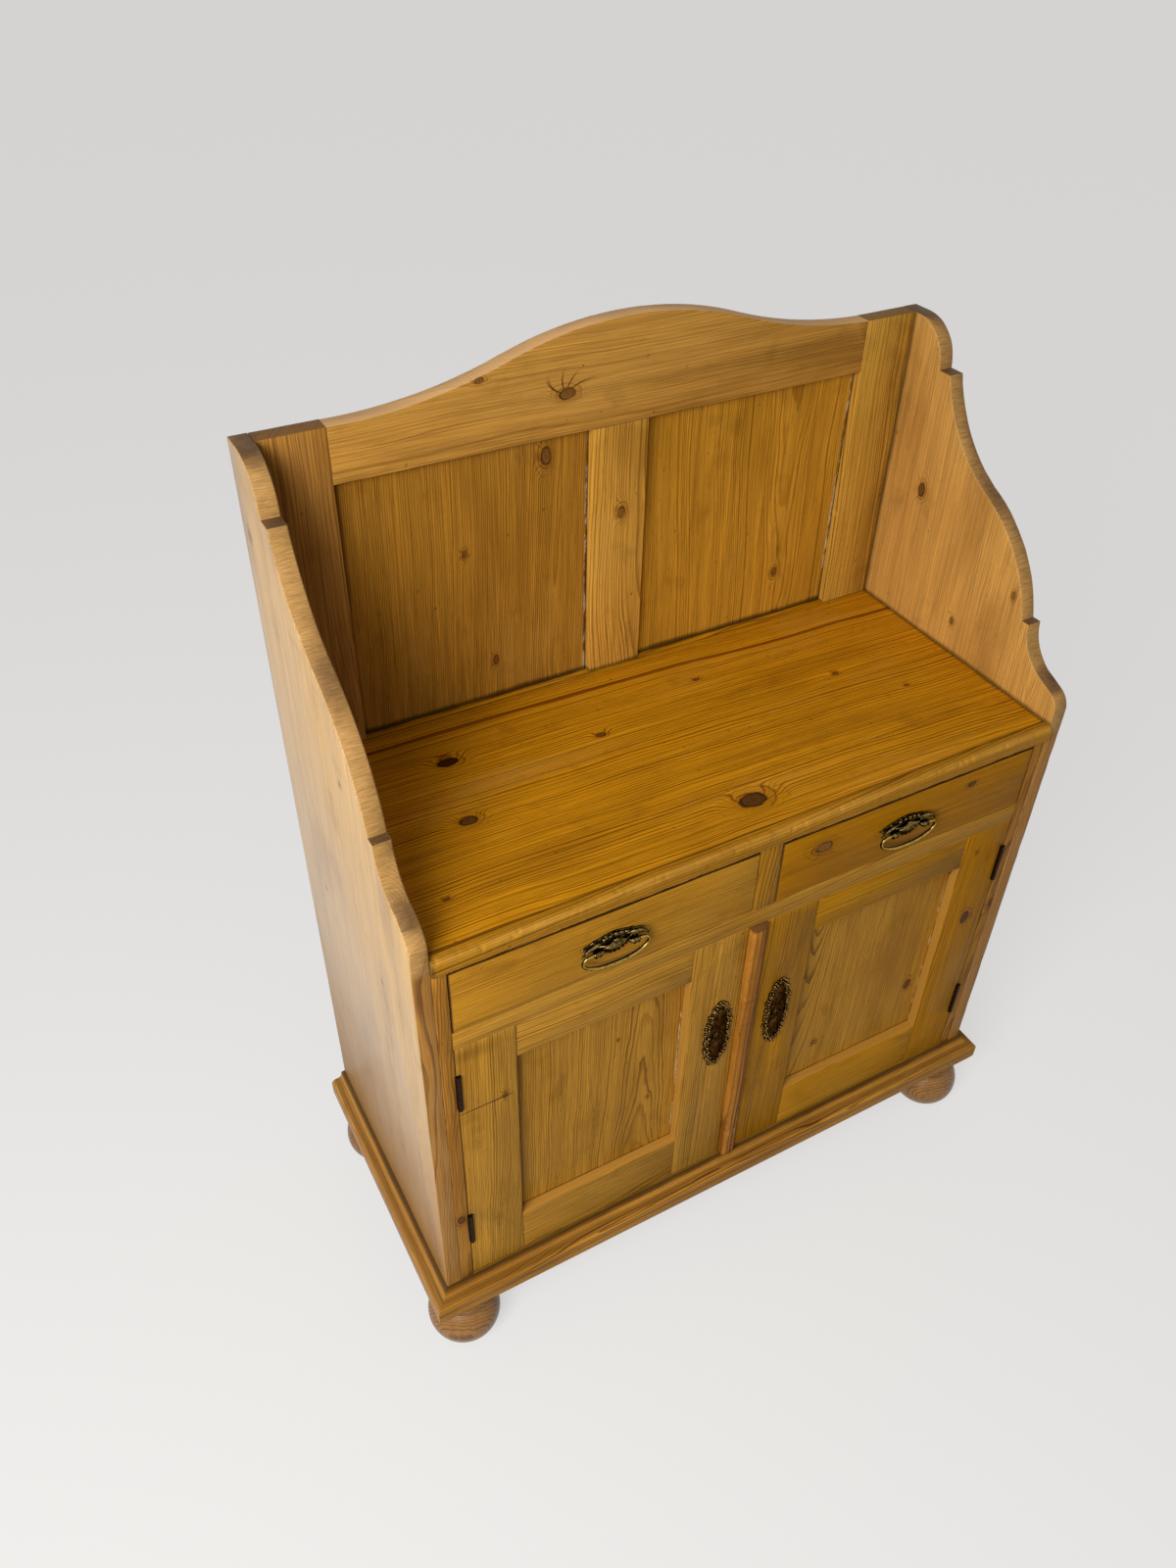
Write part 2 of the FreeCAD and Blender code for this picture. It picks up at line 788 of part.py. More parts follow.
def lock_box(x_shift, gap):
    """The bolt's outline, moved out of the lock by the shift and grown by the gap."""
    x1 = strip_left_x - door_gap + x_shift
    y1 = front_y + door_thickness - lock_thickness / 2 + bolt_thickness / 2
    z0 = key_z - bolt_height / 2
    y0 = y1 - bolt_thickness
    z1 = z0 + bolt_height
    return box(x1 - bolt_length - gap, x1 + gap, y0 - gap, y1 + gap, z0 - gap, z1 + gap)


def lock_space():
    """The recess for the lock in the back of the left door's meeting stile."""
    x1 = strip_left_x - door_gap
    y1 = front_y + door_thickness
    return box(
        x1 - lock_width, x1, y1 - lock_thickness, y1, key_z - lock_height / 2, key_z + lock_height / 2
    )


def lock_case():
    channel = lock_box(0, bolt_gap)
    mouth = lock_box(overrun, bolt_gap)
    return lock_space().cut([channel, mouth])


def lock_bolt():
    return lock_box(0, 0)


def meeting_strip():
    """The strip on the right door's closing edge, rounded at its two front corners."""
    front = front_y - meeting_strip_projection
    back = front_y + door_thickness
    strip = box(strip_left_x, strip_right_x, front, back, door_z, door_top_z)
    edges = []
    for edge in strip.Edges:
        middle = edge.CenterOfMass
        if edge.Length > door_height / 2 and middle.y < front_y:
            edges.append(edge)
    strip = strip.makeFillet(meeting_strip_projection * meeting_round_share, edges)
    keep = lock_box(bolt_throw + door_gap, bolt_gap)
    return strip.cut(keep)


def left_door():
    x0 = -strip_x + door_gap
    x1 = strip_left_x - door_gap
    pieces = door_pieces(x0, x1, hinge_stile_width, meeting_stile_width)
    recesses = [mirrored(hinge_recess(z)) for z in hinge_heights]
    key_way = keyhole(-1, front_y - overrun, front_y + door_thickness - lock_thickness)
    meeting = pieces["right_stile"].cut([lock_space(), key_way])
    return {
        "left_door_hinge_stile": pieces["left_stile"].cut(recesses),
        "left_door_meeting_stile": meeting,
        "left_door_top_rail": pieces["top_rail"],
        "left_door_bottom_rail": pieces["bottom_rail"],
        "left_door_panel": pieces["panel"],
        "left_door_key_plate": key_plate(-1),
        "left_door_hinge_leaves": mirrored(hinge_door_leaves()),
        "lock_case": lock_case(),
        "lock_bolt": lock_bolt(),
    }


def right_door():
    x0 = strip_right_x
    x1 = strip_x - door_gap
    pieces = door_pieces(x0, x1, meeting_stile_width, hinge_stile_width)
    recesses = [hinge_recess(z) for z in hinge_heights]
    blind = keyhole(1, front_y - overrun, front_y + door_thickness / 2)
    return {
        "right_door_meeting_stile": pieces["left_stile"].cut(blind),
        "right_door_hinge_stile": pieces["right_stile"].cut(recesses),
        "right_door_top_rail": pieces["top_rail"],
        "right_door_bottom_rail": pieces["bottom_rail"],
        "right_door_panel": pieces["panel"],
        "right_door_key_plate": key_plate(1),
        "right_door_hinge_leaves": hinge_door_leaves(),
        "meeting_strip": meeting_strip(),
    }


def dovetails(x0, x1, root_y, tip_y):
    """The tails that a drawer side ends in, wider at their tips than at their roots."""
    pitch = drawer_side_height / dovetail_count
    root = pitch * tail_root_share / 2
    tip = pitch * tail_tip_share / 2
    tails = []
    for index in range(dovetail_count):
        z = drawer_z + pitch * index + pitch / 2
        corners = [
            FreeCAD.Vector(x0, root_y, z - root),
            FreeCAD.Vector(x0, tip_y, z - tip),
            FreeCAD.Vector(x0, tip_y, z + tip),
            FreeCAD.Vector(x0, root_y, z + root),
        ]
        tails.append(polygon(corners).extrude(FreeCAD.Vector(x1 - x0, 0, 0)))
    return tails


def drawer(x0, x1):
    """The box of one drawer: lapped dovetails at the front, through dovetails at the back and a
    bottom that slides in grooves under the back."""
    joint_y = front_y + front_thickness
    back0 = drawer_back_y - drawer_side_thickness
    top = drawer_z + drawer_side_height
    floor_z = drawer_z + drawer_bottom_rise
    floor_top = floor_z + drawer_bottom_thickness
    ends = ((x0, x0 + drawer_side_thickness), (x1 - drawer_side_thickness, x1))
    front_tails = []
    back_tails = []
    for a, b in ends:
        front_tails += dovetails(a, b, joint_y, front_y + dovetail_lap)
        back_tails += dovetails(a, b, back0, drawer_back_y)
    slide = drawer_groove
    floor = box(
        x0 + drawer_side_thickness - slide,
        x1 - drawer_side_thickness + slide,
        joint_y - slide,
        drawer_back_y,
        floor_z,
        floor_top,
    )
    front = box(x0, x1, front_y, joint_y, drawer_z, drawer_top_z).cut(front_tails + [floor])
    sides = []
    for index, (a, b) in enumerate(ends):
        first = index * dovetail_count
        last = first + dovetail_count
        board = box(a, b, joint_y, back0, drawer_z, top)
        board = board.fuse(front_tails[first:last] + back_tails[first:last]).removeSplitter()
        sides.append(board.cut(floor))
    back = box(x0, x1, back0, drawer_back_y, floor_top, top).cut(back_tails)
    return front, sides, back, floor


def pull_plate(x):
    """The cast back plate of a pull, crowned in its middle, with the two ears that hold the bail.
    It is shaped round the origin and then set on its drawer front."""
    half = pull_width / 2

    def right(share):
        return FreeCAD.Vector(half * share[0], 0, pull_plate_height * share[1])

    def left(share):
        return right((-share[0], share[1]))

    edges = curves(plate_start_shares, plate_edge_shares, right)
    others = curves(plate_start_shares, plate_edge_shares, left)
    face = Part.Face(Part.Wire(Part.__sortEdges__(edges + others)))
    plate = domed(face, pull_plate_thickness, pull_plate_dome, pull_width, pull_plate_roll)
    ears = []
    bores = []
    along = FreeCAD.Vector(1, 0, 0)
    stem_half = ear_radius * ear_stem_share
    for side in (-1, 1):
        x0 = side * ear_spacing / 2 - ear_length / 2
        ears.append(Part.makeCylinder(ear_radius, ear_length, FreeCAD.Vector(x0, -pull_reach, 0), along))
        ears.append(box(x0, x0 + ear_length, -pull_reach, 0, -stem_half, stem_half))
        start = FreeCAD.Vector(x0 - overrun, -pull_reach, 0)
        bores.append(Part.makeCylinder(bail_radius + ear_fit, ear_length + 2 * overrun, start, along))
    plate = plate.fuse(ears).cut(bores).removeSplitter()
    return plate.translated(FreeCAD.Vector(x, front_y, pull_z))


def pull_bail(x):
    """The hanging loop of a pull: its two ends turn inward through the ears, and a rounded bow
    joins them below."""
    half = pull_width / 2 - bail_radius
    drop = pull_drop - bail_radius
    inner = ear_spacing / 2 - ear_length / 2 - ear_end_gap
    turn = drop * bail_turn_share
    bend = turn * (1 - cos(pi / 4))

    def right(px, pz):
        return FreeCAD.Vector(x + px, pull_y, pull_z - pz)

    def left(px, pz):
        return right(-px, pz)

    def bow(side):
        return side(half * bail_bow_share, drop * bail_low_share)

    edges = []
    for side in (left, right):
        corner = side(half * bail_corner_share, drop * bail_side_share)
        edges.append(Part.makeLine(side(inner, 0), side(half - turn, 0)))
        edges.append(Part.Arc(side(half - turn, 0), side(half - bend, bend), side(half, turn)).toShape())
        edges.append(Part.Arc(side(half, turn), corner, bow(side)).toShape())
    edges.append(Part.Arc(bow(left), right(0, drop), bow(right)).toShape())
    spine = Part.Wire(Part.__sortEdges__(edges))
    circle = Part.makeCircle(bail_radius, left(inner, 0), FreeCAD.Vector(1, 0, 0))
    return spine.makePipeShell([Part.Wire(circle)], True, False)


def drawer_nodes(name, x0, x1, pull_shift):
    front, sides, back, floor = drawer(x0, x1)
    centre = (x0 + x1) / 2 + pull_shift
    return {
        name + "_drawer_front": front,
        name + "_drawer_sides": Part.makeCompound(sides),
        name + "_drawer_back": back,
        name + "_drawer_bottom": floor,
        name + "_pull_plate": pull_plate(centre),
        name + "_pull_bail": pull_bail(centre),
    }


def build():
    nodes = {
        "side_left": mirrored(side_right()),
        "side_right": side_right(),
        "worktop": worktop(),
        "worktop_nosing": worktop_nosing(),
        "front_strip_left": mirrored(front_strip_right()),
        "front_strip_right": front_strip_right(),
        "drawer_rail": drawer_rail(),
        "drawer_divider": drawer_divider(),
        "side_runners": side_runners(),
        "centre_runner": centre_runner(),
        "bottom_board": bottom_board(),
        "shelf": shelf(),
        "shelf_cleats": shelf_cleats(),
        "back_stile_left": mirrored(back_stile_right()),
        "back_stile_right": back_stile_right(),
        "crest_rail": crest_rail(),
        "back_middle_rail": back_middle_rail(),
        "back_muntin": back_muntin(),
        "back_panel_left": mirrored(back_panel_right()),
        "back_panel_right": back_panel_right(),
        "lower_back_boards": lower_back_boards(),
        "plinth_front": plinth_front(),
        "plinth_left": mirrored(plinth_right()),
        "plinth_right": plinth_right(),
        "plinth_back": plinth_back(),
        "hinge_case_leaves": hinge_case_leaves(),
        "hinge_pins": hinge_pins(),
    }
    for name, (x, y) in foot_places().items():
        nodes["foot_" + name] = foot(x, y)
    nodes.update(left_door())
    nodes.update(right_door())
    outer = strip_x - drawer_gap
    inner = divider_width / 2 + drawer_gap
    nodes.update(drawer_nodes("left", -outer, -inner, left_pull_shift))
    nodes.update(drawer_nodes("right", inner, outer, right_pull_shift))
    return nodes


def main():
    os.makedirs("parts", exist_ok=True)
    for name, shape in build().items():
        shape.exportStep("parts/" + name + ".step")
        print(name, "solids", len(shape.Solids), "volume", round(shape.Volume), "valid", shape.isValid())


if __name__ == "__main__":
    main()
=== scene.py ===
import json
from math import cos, pi, radians, sin

import bmesh
import bpy
import numpy as np
from mathutils import Euler, Matrix, Vector, noise

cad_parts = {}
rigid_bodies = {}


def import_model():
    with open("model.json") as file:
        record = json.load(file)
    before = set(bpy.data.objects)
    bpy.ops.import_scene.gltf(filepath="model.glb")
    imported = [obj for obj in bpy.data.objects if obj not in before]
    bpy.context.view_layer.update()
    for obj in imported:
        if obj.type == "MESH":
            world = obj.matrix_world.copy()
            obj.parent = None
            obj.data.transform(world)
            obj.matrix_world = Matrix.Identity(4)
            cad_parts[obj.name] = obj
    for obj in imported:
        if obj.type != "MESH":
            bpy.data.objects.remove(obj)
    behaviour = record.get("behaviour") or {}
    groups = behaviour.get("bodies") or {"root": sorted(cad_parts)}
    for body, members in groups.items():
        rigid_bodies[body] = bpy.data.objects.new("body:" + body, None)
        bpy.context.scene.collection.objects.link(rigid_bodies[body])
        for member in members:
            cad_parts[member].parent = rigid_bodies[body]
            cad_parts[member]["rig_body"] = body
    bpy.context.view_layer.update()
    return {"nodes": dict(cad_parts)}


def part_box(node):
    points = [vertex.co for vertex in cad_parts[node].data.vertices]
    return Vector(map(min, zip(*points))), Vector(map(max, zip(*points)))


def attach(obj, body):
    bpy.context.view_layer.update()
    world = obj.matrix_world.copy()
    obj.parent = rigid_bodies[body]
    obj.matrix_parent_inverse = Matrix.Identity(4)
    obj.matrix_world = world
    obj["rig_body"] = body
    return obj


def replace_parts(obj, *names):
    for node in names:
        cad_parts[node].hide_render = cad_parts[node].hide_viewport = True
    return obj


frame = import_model()
nodes = frame["nodes"]


# Bun feet
# Four turned pine feet, each with a short neck and a tenon that goes up into the plinth. They are
# turned from the log's length, so the rings show as ovals on the front of the bun.

MM = 1000.0


class Wire:
    """A value on its way through a material's nodes. Sums on it add Math nodes."""

    def __init__(self, tree, socket=None):
        self.tree = tree
        self.socket = socket

    def feed(self, node, values):
        """Gives a node's sockets their values or links."""
        for key, value in values.items():
            if isinstance(value, Wire):
                self.tree.links.new(value.socket, node.inputs[key])
            else:
                node.inputs[key].default_value = value

    def node(self, kind, settings=None, values=None, output=0):
        """Adds a node: its settings first, and then the values or links of its sockets."""
        made = self.tree.nodes.new("ShaderNode" + kind)
        for name, value in (settings or {}).items():
            setattr(made, name, value)
        self.feed(made, values or {})
        return Wire(self.tree, made.outputs[output])

    def also(self, output):
        """Another output of the node that this value comes from."""
        return Wire(self.tree, self.socket.node.outputs[output])

    def sum(self, operation, *values):
        """The result of a Math node on these values."""
        return self.node("Math", {"operation": operation}, dict(enumerate(values)))

    def __add__(self, other):
        return self.sum("ADD", self, other)

    def __sub__(self, other):
        return self.sum("SUBTRACT", self, other)

    def __rsub__(self, other):
        return self.sum("SUBTRACT", other, self)

    def __mul__(self, other):
        return self.sum("MULTIPLY", self, other)

    def __truediv__(self, other):
        return self.sum("DIVIDE", self, other)

    def __abs__(self):
        return self.sum("ABSOLUTE", self)

    __radd__ = __add__
    __rmul__ = __mul__

    def sine(self):
        """The sine of this angle."""
        return self.sum("SINE", self)

    def length(self, other):
        """The distance that two sides of a right angle make."""
        return self.sum("SQRT", self * self + other * other)

    def rise(self, low, high):
        """Goes softly from 0 at low to 1 at high. A low above the high makes it fall."""
        return self.node("MapRange", {"interpolation_type": "SMOOTHSTEP"}, {0: self, 1: low, 2: high})

    def tint(self, first, second):
        """The first colour where this value is 0 and the second where it is 1."""
        return self.node("Mix", {"data_type": "RGBA"}, {0: self, 6: first, 7: second}, 2)

    def to(self, colour, share, way="MIX"):
        """This colour, taken towards another by a share."""
        settings = {"data_type": "RGBA", "blend_type": way}
        return self.node("Mix", settings, {0: share, 6: self, 7: colour}, 2)

    def point(self, second, third):
        """The point whose first part is this value."""
        return self.node("CombineXYZ", {}, {0: self, 1: second, 2: third})

    def parts(self):
        """The three parts of a point, a direction or a colour."""
        split = self.node("SeparateXYZ", {}, {0: self})
        return {axis: split.also(axis.upper()) for axis in "xyz"}

    def noise(self, scale=1.0, detail=2.0, roughness=0.5):
        """Noise from 0 to 1 at this point."""
        values = {"Vector": self, "Scale": scale, "Detail": detail, "Roughness": roughness}
        return self.node("TexNoise", {}, values)

    def bump(self, distance):
        """The direction of a surface whose height is this value."""
        return self.node("Bump", {}, {"Strength": 0.5, "Distance": distance, "Height": self}, "Normal")


def new_material(name):
    """A material, its shader, and the point on the piece that is being coloured."""
    material = bpy.data.materials.new(name)
    material.use_nodes = True
    shader = material.node_tree.nodes["Principled BSDF"]
    return material, shader, Wire(material.node_tree).node("TexCoord", output="Object")


def paint(red, green, blue):
    """A colour from 0 to 255, as it shows on a screen, turned into Blender's own."""
    shown = np.array((red, green, blue)) / 255
    linear = np.where(shown > 0.04045, ((shown + 0.055) / 1.055) ** 2.4, shown / 12.92)
    return (*(float(value) for value in linear), 1.0)


def between(first, second, share):
    """The paint that lies between two, by a share of the way to the second."""
    return paint(*(low + (high - low) * share for low, high in zip(first, second)))


EARLY = paint(176, 128, 46)
LATE = paint(112, 68, 8)
STRIP_EARLY = paint(158, 108, 40)
STRIP_LATE = paint(104, 63, 20)
KNOT_HEARTS = ((50, 22, 5), (146, 100, 44))
KNOT_RIMS = ((24, 9, 2), (66, 38, 12))
SWIRL = paint(84, 46, 8)
WORM_HOLE = paint(40, 20, 5)
# Painted shade, with some grime: the colour that recesses, corners and joints are taken towards.
SHADE_AND_GRIME_COLOUR = paint(40, 24, 7)
FILLER = paint(214, 196, 160)


class Timber:
    """The wood of one board, with the places on it in mm along, across and through the board."""

    def __init__(self, place, along, face, seed):
        self.at = {axis: part * MM for axis, part in place.parts().items()}
        across = ({"x", "y", "z"} - {along, face}).pop()
        self.along, self.across, self.through = self.at[along], self.at[across], self.at[face]
        self.grain = self.along.point(self.across, self.through)
        self.seed = seed

    def clouds(self, length, width, number, detail=2.0, roughness=0.5):
        """Noise from 0 to 1, in patches of a length along the grain and a width across it."""
        spread = (1 / length, 1 / width, 1 / width)
        shift = (self.seed * 3.7 + number * 11.3, self.seed * 5.1, number * 7.9)
        values = {0: self.grain, 1: spread, 2: shift}
        where = self.grain.node("VectorMath", {"operation": "MULTIPLY_ADD"}, values)
        return where.noise(detail=detail, roughness=roughness)

    def kept_to(self, share, stretches):
        """A share that comes in over stretches of other axes."""
        for axis, start, end in stretches:
            share = share * self.at[axis].rise(start, end)
        return share

    def pull(self, knot_along, knot_across, size):
        """How far a knot draws the rings aside."""
        flow = ((self.along - knot_along) / (size * 4.6)).length((self.across - knot_across) / (size * 2.4))
        return flow.rise(1.0, 0.0) * size * 1.7

    def latewood(self, pith, slope, ring, knots):
        """The dark part of each year's ring, about a pith that wanders beside the board."""
        side = self.across - pith[0] - self.along * slope[0] + (self.clouds(420, 300, 1) - 0.5) * 34
        depth = self.through - pith[1] - self.along * slope[1] + (self.clouds(420, 300, 2) - 0.5) * 26
        radius = side.length(depth) + (self.clouds(90, 14, 3) - 0.5) * 3.2
        for knot in knots:
            radius = radius + self.pull(*knot[:3])
        line = {"noise_dimensions": "1D"}
        slow = radius.node("TexNoise", line, {"W": radius / 30 + self.seed, "Scale": 1.0})
        turns = radius / ring + slow * 5
        phase = turns.sum("FRACT", turns)
        year = turns.sum("FLOOR", turns)
        strength = year.node("TexWhiteNoise", line, {"W": year + self.seed}) * 0.75 + 0.25
        return phase.rise(0.45, 0.9) * phase.rise(1.0, 0.95) * strength

    def bruises(self):
        """Worm holes, dents and scratches, and a random lot for each patch of the surface."""
        flat = self.along.point(self.across, self.seed * 40.0)
        cells = flat.node("TexVoronoi", {}, {"Vector": flat, "Scale": 1 / 24})
        lot = cells.also("Color").parts()
        worm = cells.rise(0.05, 0.03) * lot["x"].rise(0.72, 0.74)
        dent = cells.rise(0.16, 0.02) * lot["y"].rise(0.66, 0.7)
        slanted = {"Vector": flat, "Rotation": (0, 0, 0.5 + self.seed), "Scale": (0.022, 1.1, 1)}
        scratch = flat.node("Mapping", {}, slanted).noise(detail=1.0).rise(0.68, 0.73)
        return worm, dent, scratch, lot["z"]

    def knotted(self, colour, height, lot, knot_along, knot_across, size, pale=0, torn=0):
        """Adds a knot: its own rings, a split, a dark rim, and swirled or torn grain about it."""
        away_along = self.along - knot_along
        away_across = self.across - knot_across
        angle = away_along.sum("ARCTAN2", away_across, away_along)
        away = (away_along / (size * 1.3)).length(away_across / (size * 0.8))
        ragged = (self.clouds(34, 16, 13) - 0.5) * away.rise(0.9, 2.4) * 1.5
        away = away + (self.clouds(9, 9, 9) - 0.5) * 0.55 + ragged
        heart = away.rise(1.05, 0.9)
        rings = (away * (size * 1.6) + angle).sine() * 0.5 + 0.5
        split = abs((angle * 1.5 + self.seed + away).sine()).rise(0.16, 0.04) * away.rise(0.9, 0.2)
        swirl = (away * 7.5 - angle).sine().rise(0.6, 0.9) * away.rise(3.4, 1.0)
        swirl = swirl * (angle + self.seed).sine().rise(-0.7, 0.4)
        rim_colour = between(*KNOT_RIMS, pale)
        colour = colour.to(paint(122, 68, 10), away.rise(2.6, 0.9) * 0.4)
        colour = colour.to(SWIRL, swirl * 0.8)
        if torn:
            tears = (angle * 9.0 + away * 1.1 + self.seed).sine().rise(0.72, 0.97) * away.rise(5.4, 1.6)
            tears = tears * angle.sine().rise(-0.1, 0.5)
            colour = colour.to(SWIRL, tears)
            height = height - tears
        depth_of_colour = min(0.95, 0.35 + size * 0.07)
        heart_colour = (rings * 0.5).tint(between(*KNOT_HEARTS, pale), rim_colour)
        colour = colour.to(heart_colour, heart * depth_of_colour)
        rim = away.rise(0.72, 0.95) * away.rise(1.25, 1.0) * lot.rise(-0.4, 0.5)
        colour = colour.to(rim_colour, (rim * 0.9 + split * 0.8) * depth_of_colour)
        return colour, height - heart * 0.7 - split - swirl * 0.5


def pine(name, along, face, seed, pith=(0, -70), slope=(0.0, 0.035), ring=3.6, early=EARLY, late=LATE,
         knots=(), dirt=(), flecks=(), gloss=0.5, arris=paint(150, 104, 36), edges=None, ends=0.7,
         sawn_above=0, contrast=0.95, shine=0.06, polish=0.0, wear=1.0, low_tone=None):
    """Old waxed pine, cut from a log: rings about a pith that wanders beside the board, fibres
    along it, knots that the rings flow round, painted shade with some grime and dark joint lines in
    recesses, corners and joints, and pale flecks of old filler. Along and face are the axes of the
    grain and of the board's thickness, and places are in mm. A knot is its place along and across
    the grain, its size, how pale it is and a 1 where the grain round it is torn. Shade and grime, and
    flecks, are an axis, a place on it, a reach, a share and the stretches of other axes over which
    they come in. Wear is the board's share of scratches, worm holes and dents."""
    material, shader, place = new_material(name)
    wood = Timber(place, along, face, seed)
    clouds = wood.clouds
    latewood = wood.latewood(pith, slope, ring, knots)
    fibres = clouds(90, 1.1, 4, 3.0, 0.65)
    pores = clouds(26, 0.9, 5, 1.0).rise(0.62, 0.74)
    streaks = clouds(600, 8, 11, 3.0, 0.6)
    patches = clouds(260, 90, 6, 3.0)
    stain = clouds(60, 50, 7, 4.0, 0.6)

    # The wood's own colour, and the faded and stained patches on it.
    colour = (latewood * contrast).tint(early, late)
    colour = colour.to((fibres - 0.5) * 1.5 + 1.0, 1.0, "MULTIPLY")
    colour = colour.to((streaks - 0.5) * 0.6 + 1.0, 1.0, "MULTIPLY")
    colour = colour.to(late, pores * 0.4)
    colour = colour.to(paint(206, 158, 76), patches.rise(0.52, 0.8) * 0.22)
    colour = colour.to(paint(112, 68, 12), patches.rise(0.5, 0.24) * 0.4)
    colour = colour.to(paint(84, 50, 12), stain.rise(0.56, 0.74) * 0.22)
    height = latewood * 0.9 + fibres * 0.6 + clouds(120, 60, 8) * 1.4

    # What use and age have left on it.
    worm, dent, scratch, lot = wood.bruises()
    colour = colour.to(WORM_HOLE, worm * 0.75 * wear)
    colour = colour.to(late, dent * 0.35 * wear)
    colour = colour.to(paint(212, 172, 104), scratch * patches.rise(0.4, 0.6) * 0.35 * wear)
    height = height - (worm * 1.5 + dent * 1.2 + scratch * 0.4) * wear

    for knot in knots:
        colour, height = wood.knotted(colour, height, lot, *knot)
    for axis, middle, reach, share, *stretches in flecks:
        near = abs(wood.at[axis] - middle).rise(reach, reach * 0.3)
        share = wood.kept_to(near * clouds(16, 5, 12, 3.0).rise(0.46, 0.6) * share, stretches)
        colour = colour.to(FILLER, share)
        height = height + share
    # Painted shade, with some grime and dark joint lines: darker near recesses, corners, joints and the
    # parts that shade the wood.
    for axis, middle, reach, share, *stretches in dirt:
        near = abs(wood.at[axis] - middle) + (stain - 0.5) * reach
        colour = colour.to(SHADE_AND_GRIME_COLOUR, wood.kept_to(near.rise(reach, 0.0) * share, stretches))

    # End grain, sawn or planed edges, painted shade on the lower part, and rubbed arrises.
    facing = place.also("Normal").parts()
    flatness = abs(facing[face])
    endwise = abs(facing[along])
    if not sawn_above:
        end_grain = (fibres * 0.6 + stain * 0.4).tint(paint(58, 38, 22), paint(136, 98, 58))
        colour = colour.to(end_grain, endwise.rise(0.75, 0.95) * ends)
    if edges:
        edge_share = flatness.rise(0.75, 0.3) * (stain * 0.4 + 0.7)
        edge_colour = edges
        if sawn_above:
            cuts = (wood.along / 1.7).point(wood.across / 1.7, wood.through / 16 + seed).noise(detail=3.0)
            end_share = endwise.rise(0.72, 1.0) * 1.05 + (stain - 0.5) * 1.2
            sawn = wood.at["z"].rise(sawn_above, sawn_above + 12)
            shade = end_share.tint(edges, paint(80, 53, 31)).to(cuts * 1.7 + 0.2, 0.9, "MULTIPLY")
            planed_edge = (latewood * 1.1).tint(STRIP_EARLY, STRIP_LATE)
            planed_edge = planed_edge.to((fibres - 0.5) * 1.6 + 1.0, 1.0, "MULTIPLY")
            edge_colour = sawn.tint(planed_edge, shade)
            height = height + cuts * sawn * edge_share * 2.5
        colour = colour.to(edge_colour, edge_share)
    # Painted shade: the faces taken darker and more golden towards the bottom, where less sheen falls.
    if low_tone:
        colour = colour.to(low_tone, flatness.rise(0.5, 0.9) * wood.at["z"].rise(600, 120) * 0.85)
    rubbed_back = place.node("Attribute", {"attribute_name": "arris"}, output="Fac")
    colour = colour.to(arris, rubbed_back * (clouds(40, 40, 10) * 0.5 + 0.2))

    finish = {"Base Color": colour, "Roughness": gloss + (stain - 0.5) * 0.2 - latewood * 0.06,
              "Normal": height.bump(0.0007), "Specular IOR Level": shine, "Coat Roughness": 0.34}
    if polish:
        waxed = wood.at["z"].rise(100, 620) * 0.92 + 0.08
        finish["Coat Weight"] = flatness.rise(0.5, 0.9) * waxed * polish
    place.feed(shader, finish)
    return material


def finish_node(name, material):
    """A CAD node that keeps its own shape and gets a finish."""
    data = nodes[name].data
    data.materials.clear()
    data.materials.append(material)


def board(name, along, face, seed, **look):
    """A CAD node of pine that keeps its own shape."""
    finish_node(name, pine(name + "_pine", along, face, seed, **look))


def box_mm(name):
    """The two corners of a CAD node's box."""
    return [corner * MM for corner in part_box(name)]


for number, corner in enumerate(("front_left", "front_right", "back_left", "back_right")):
    low, high = box_mm("foot_" + corner)
    centre = (low + high) / 2
    board("foot_" + corner, "z", "y", 3 + number,
          pith=(centre.x + 8, centre.y + 22), slope=(0.02, 0.05), ring=2.3,
          early=paint(148, 104, 52), late=paint(84, 50, 16), contrast=0.9, gloss=0.3, polish=0.5,
          shine=0.3, wear=0.4, ends=0.15, dirt=(("z", 80, 12, 0.7), ("z", 0, 10, 0.6)))


# Plinth
# A frame of moulded pine, mitred at its corners. The carcass stands on it, and the tenons of the
# feet go up into it. Its left side has kept more polish than the rest.

for number, (name, along, face) in enumerate((
        ("plinth_front", "x", "y"), ("plinth_left", "y", "x"), ("plinth_right", "y", "x"),
        ("plinth_back", "x", "y"))):
    shine, polish = (0.3, 0.6) if name == "plinth_left" else (0.06, 0.1)
    depth = box_mm(name)[0]["xyz".index(face)] + 4
    board(name, along, face, 11 + number, pith=(128, depth), slope=(0.012, 0.004), ring=1.9,
          early=paint(182, 128, 50), late=paint(88, 50, 8), gloss=0.42, shine=shine, polish=polish,
          contrast=1.1, dirt=(("z", 144, 5, 0.8), ("z", 118, 4, 0.45), ("z", 132, 3, 0.4)))


# Sides
# Two full-height boards, 22 mm thick, sawn to the same flowing line down the front of the gallery.
# Their arrises are rounded by wear, and the sawn edge has gone grey-brown.

# In metres: how near two points count as one, how near a face's plane counts as on it, and how far
# apart an arris is cut. Sharp is the least angle that makes an arris.
SAME_PLACE = 0.000002
SAME_FACE = 0.00001
ARRIS_STEP = 0.02
SHARP = radians(35)


def merged(mesh, flat):
    """A CAD node's mesh to be worked on, with its loose triangles joined and those that lie flat
    to each other, within so many degrees, made one face."""
    work = bmesh.new()
    work.from_mesh(mesh)
    bmesh.ops.remove_doubles(work, verts=work.verts, dist=SAME_PLACE)
    bmesh.ops.dissolve_limit(work, angle_limit=radians(flat), verts=work.verts, edges=work.edges)
    return work


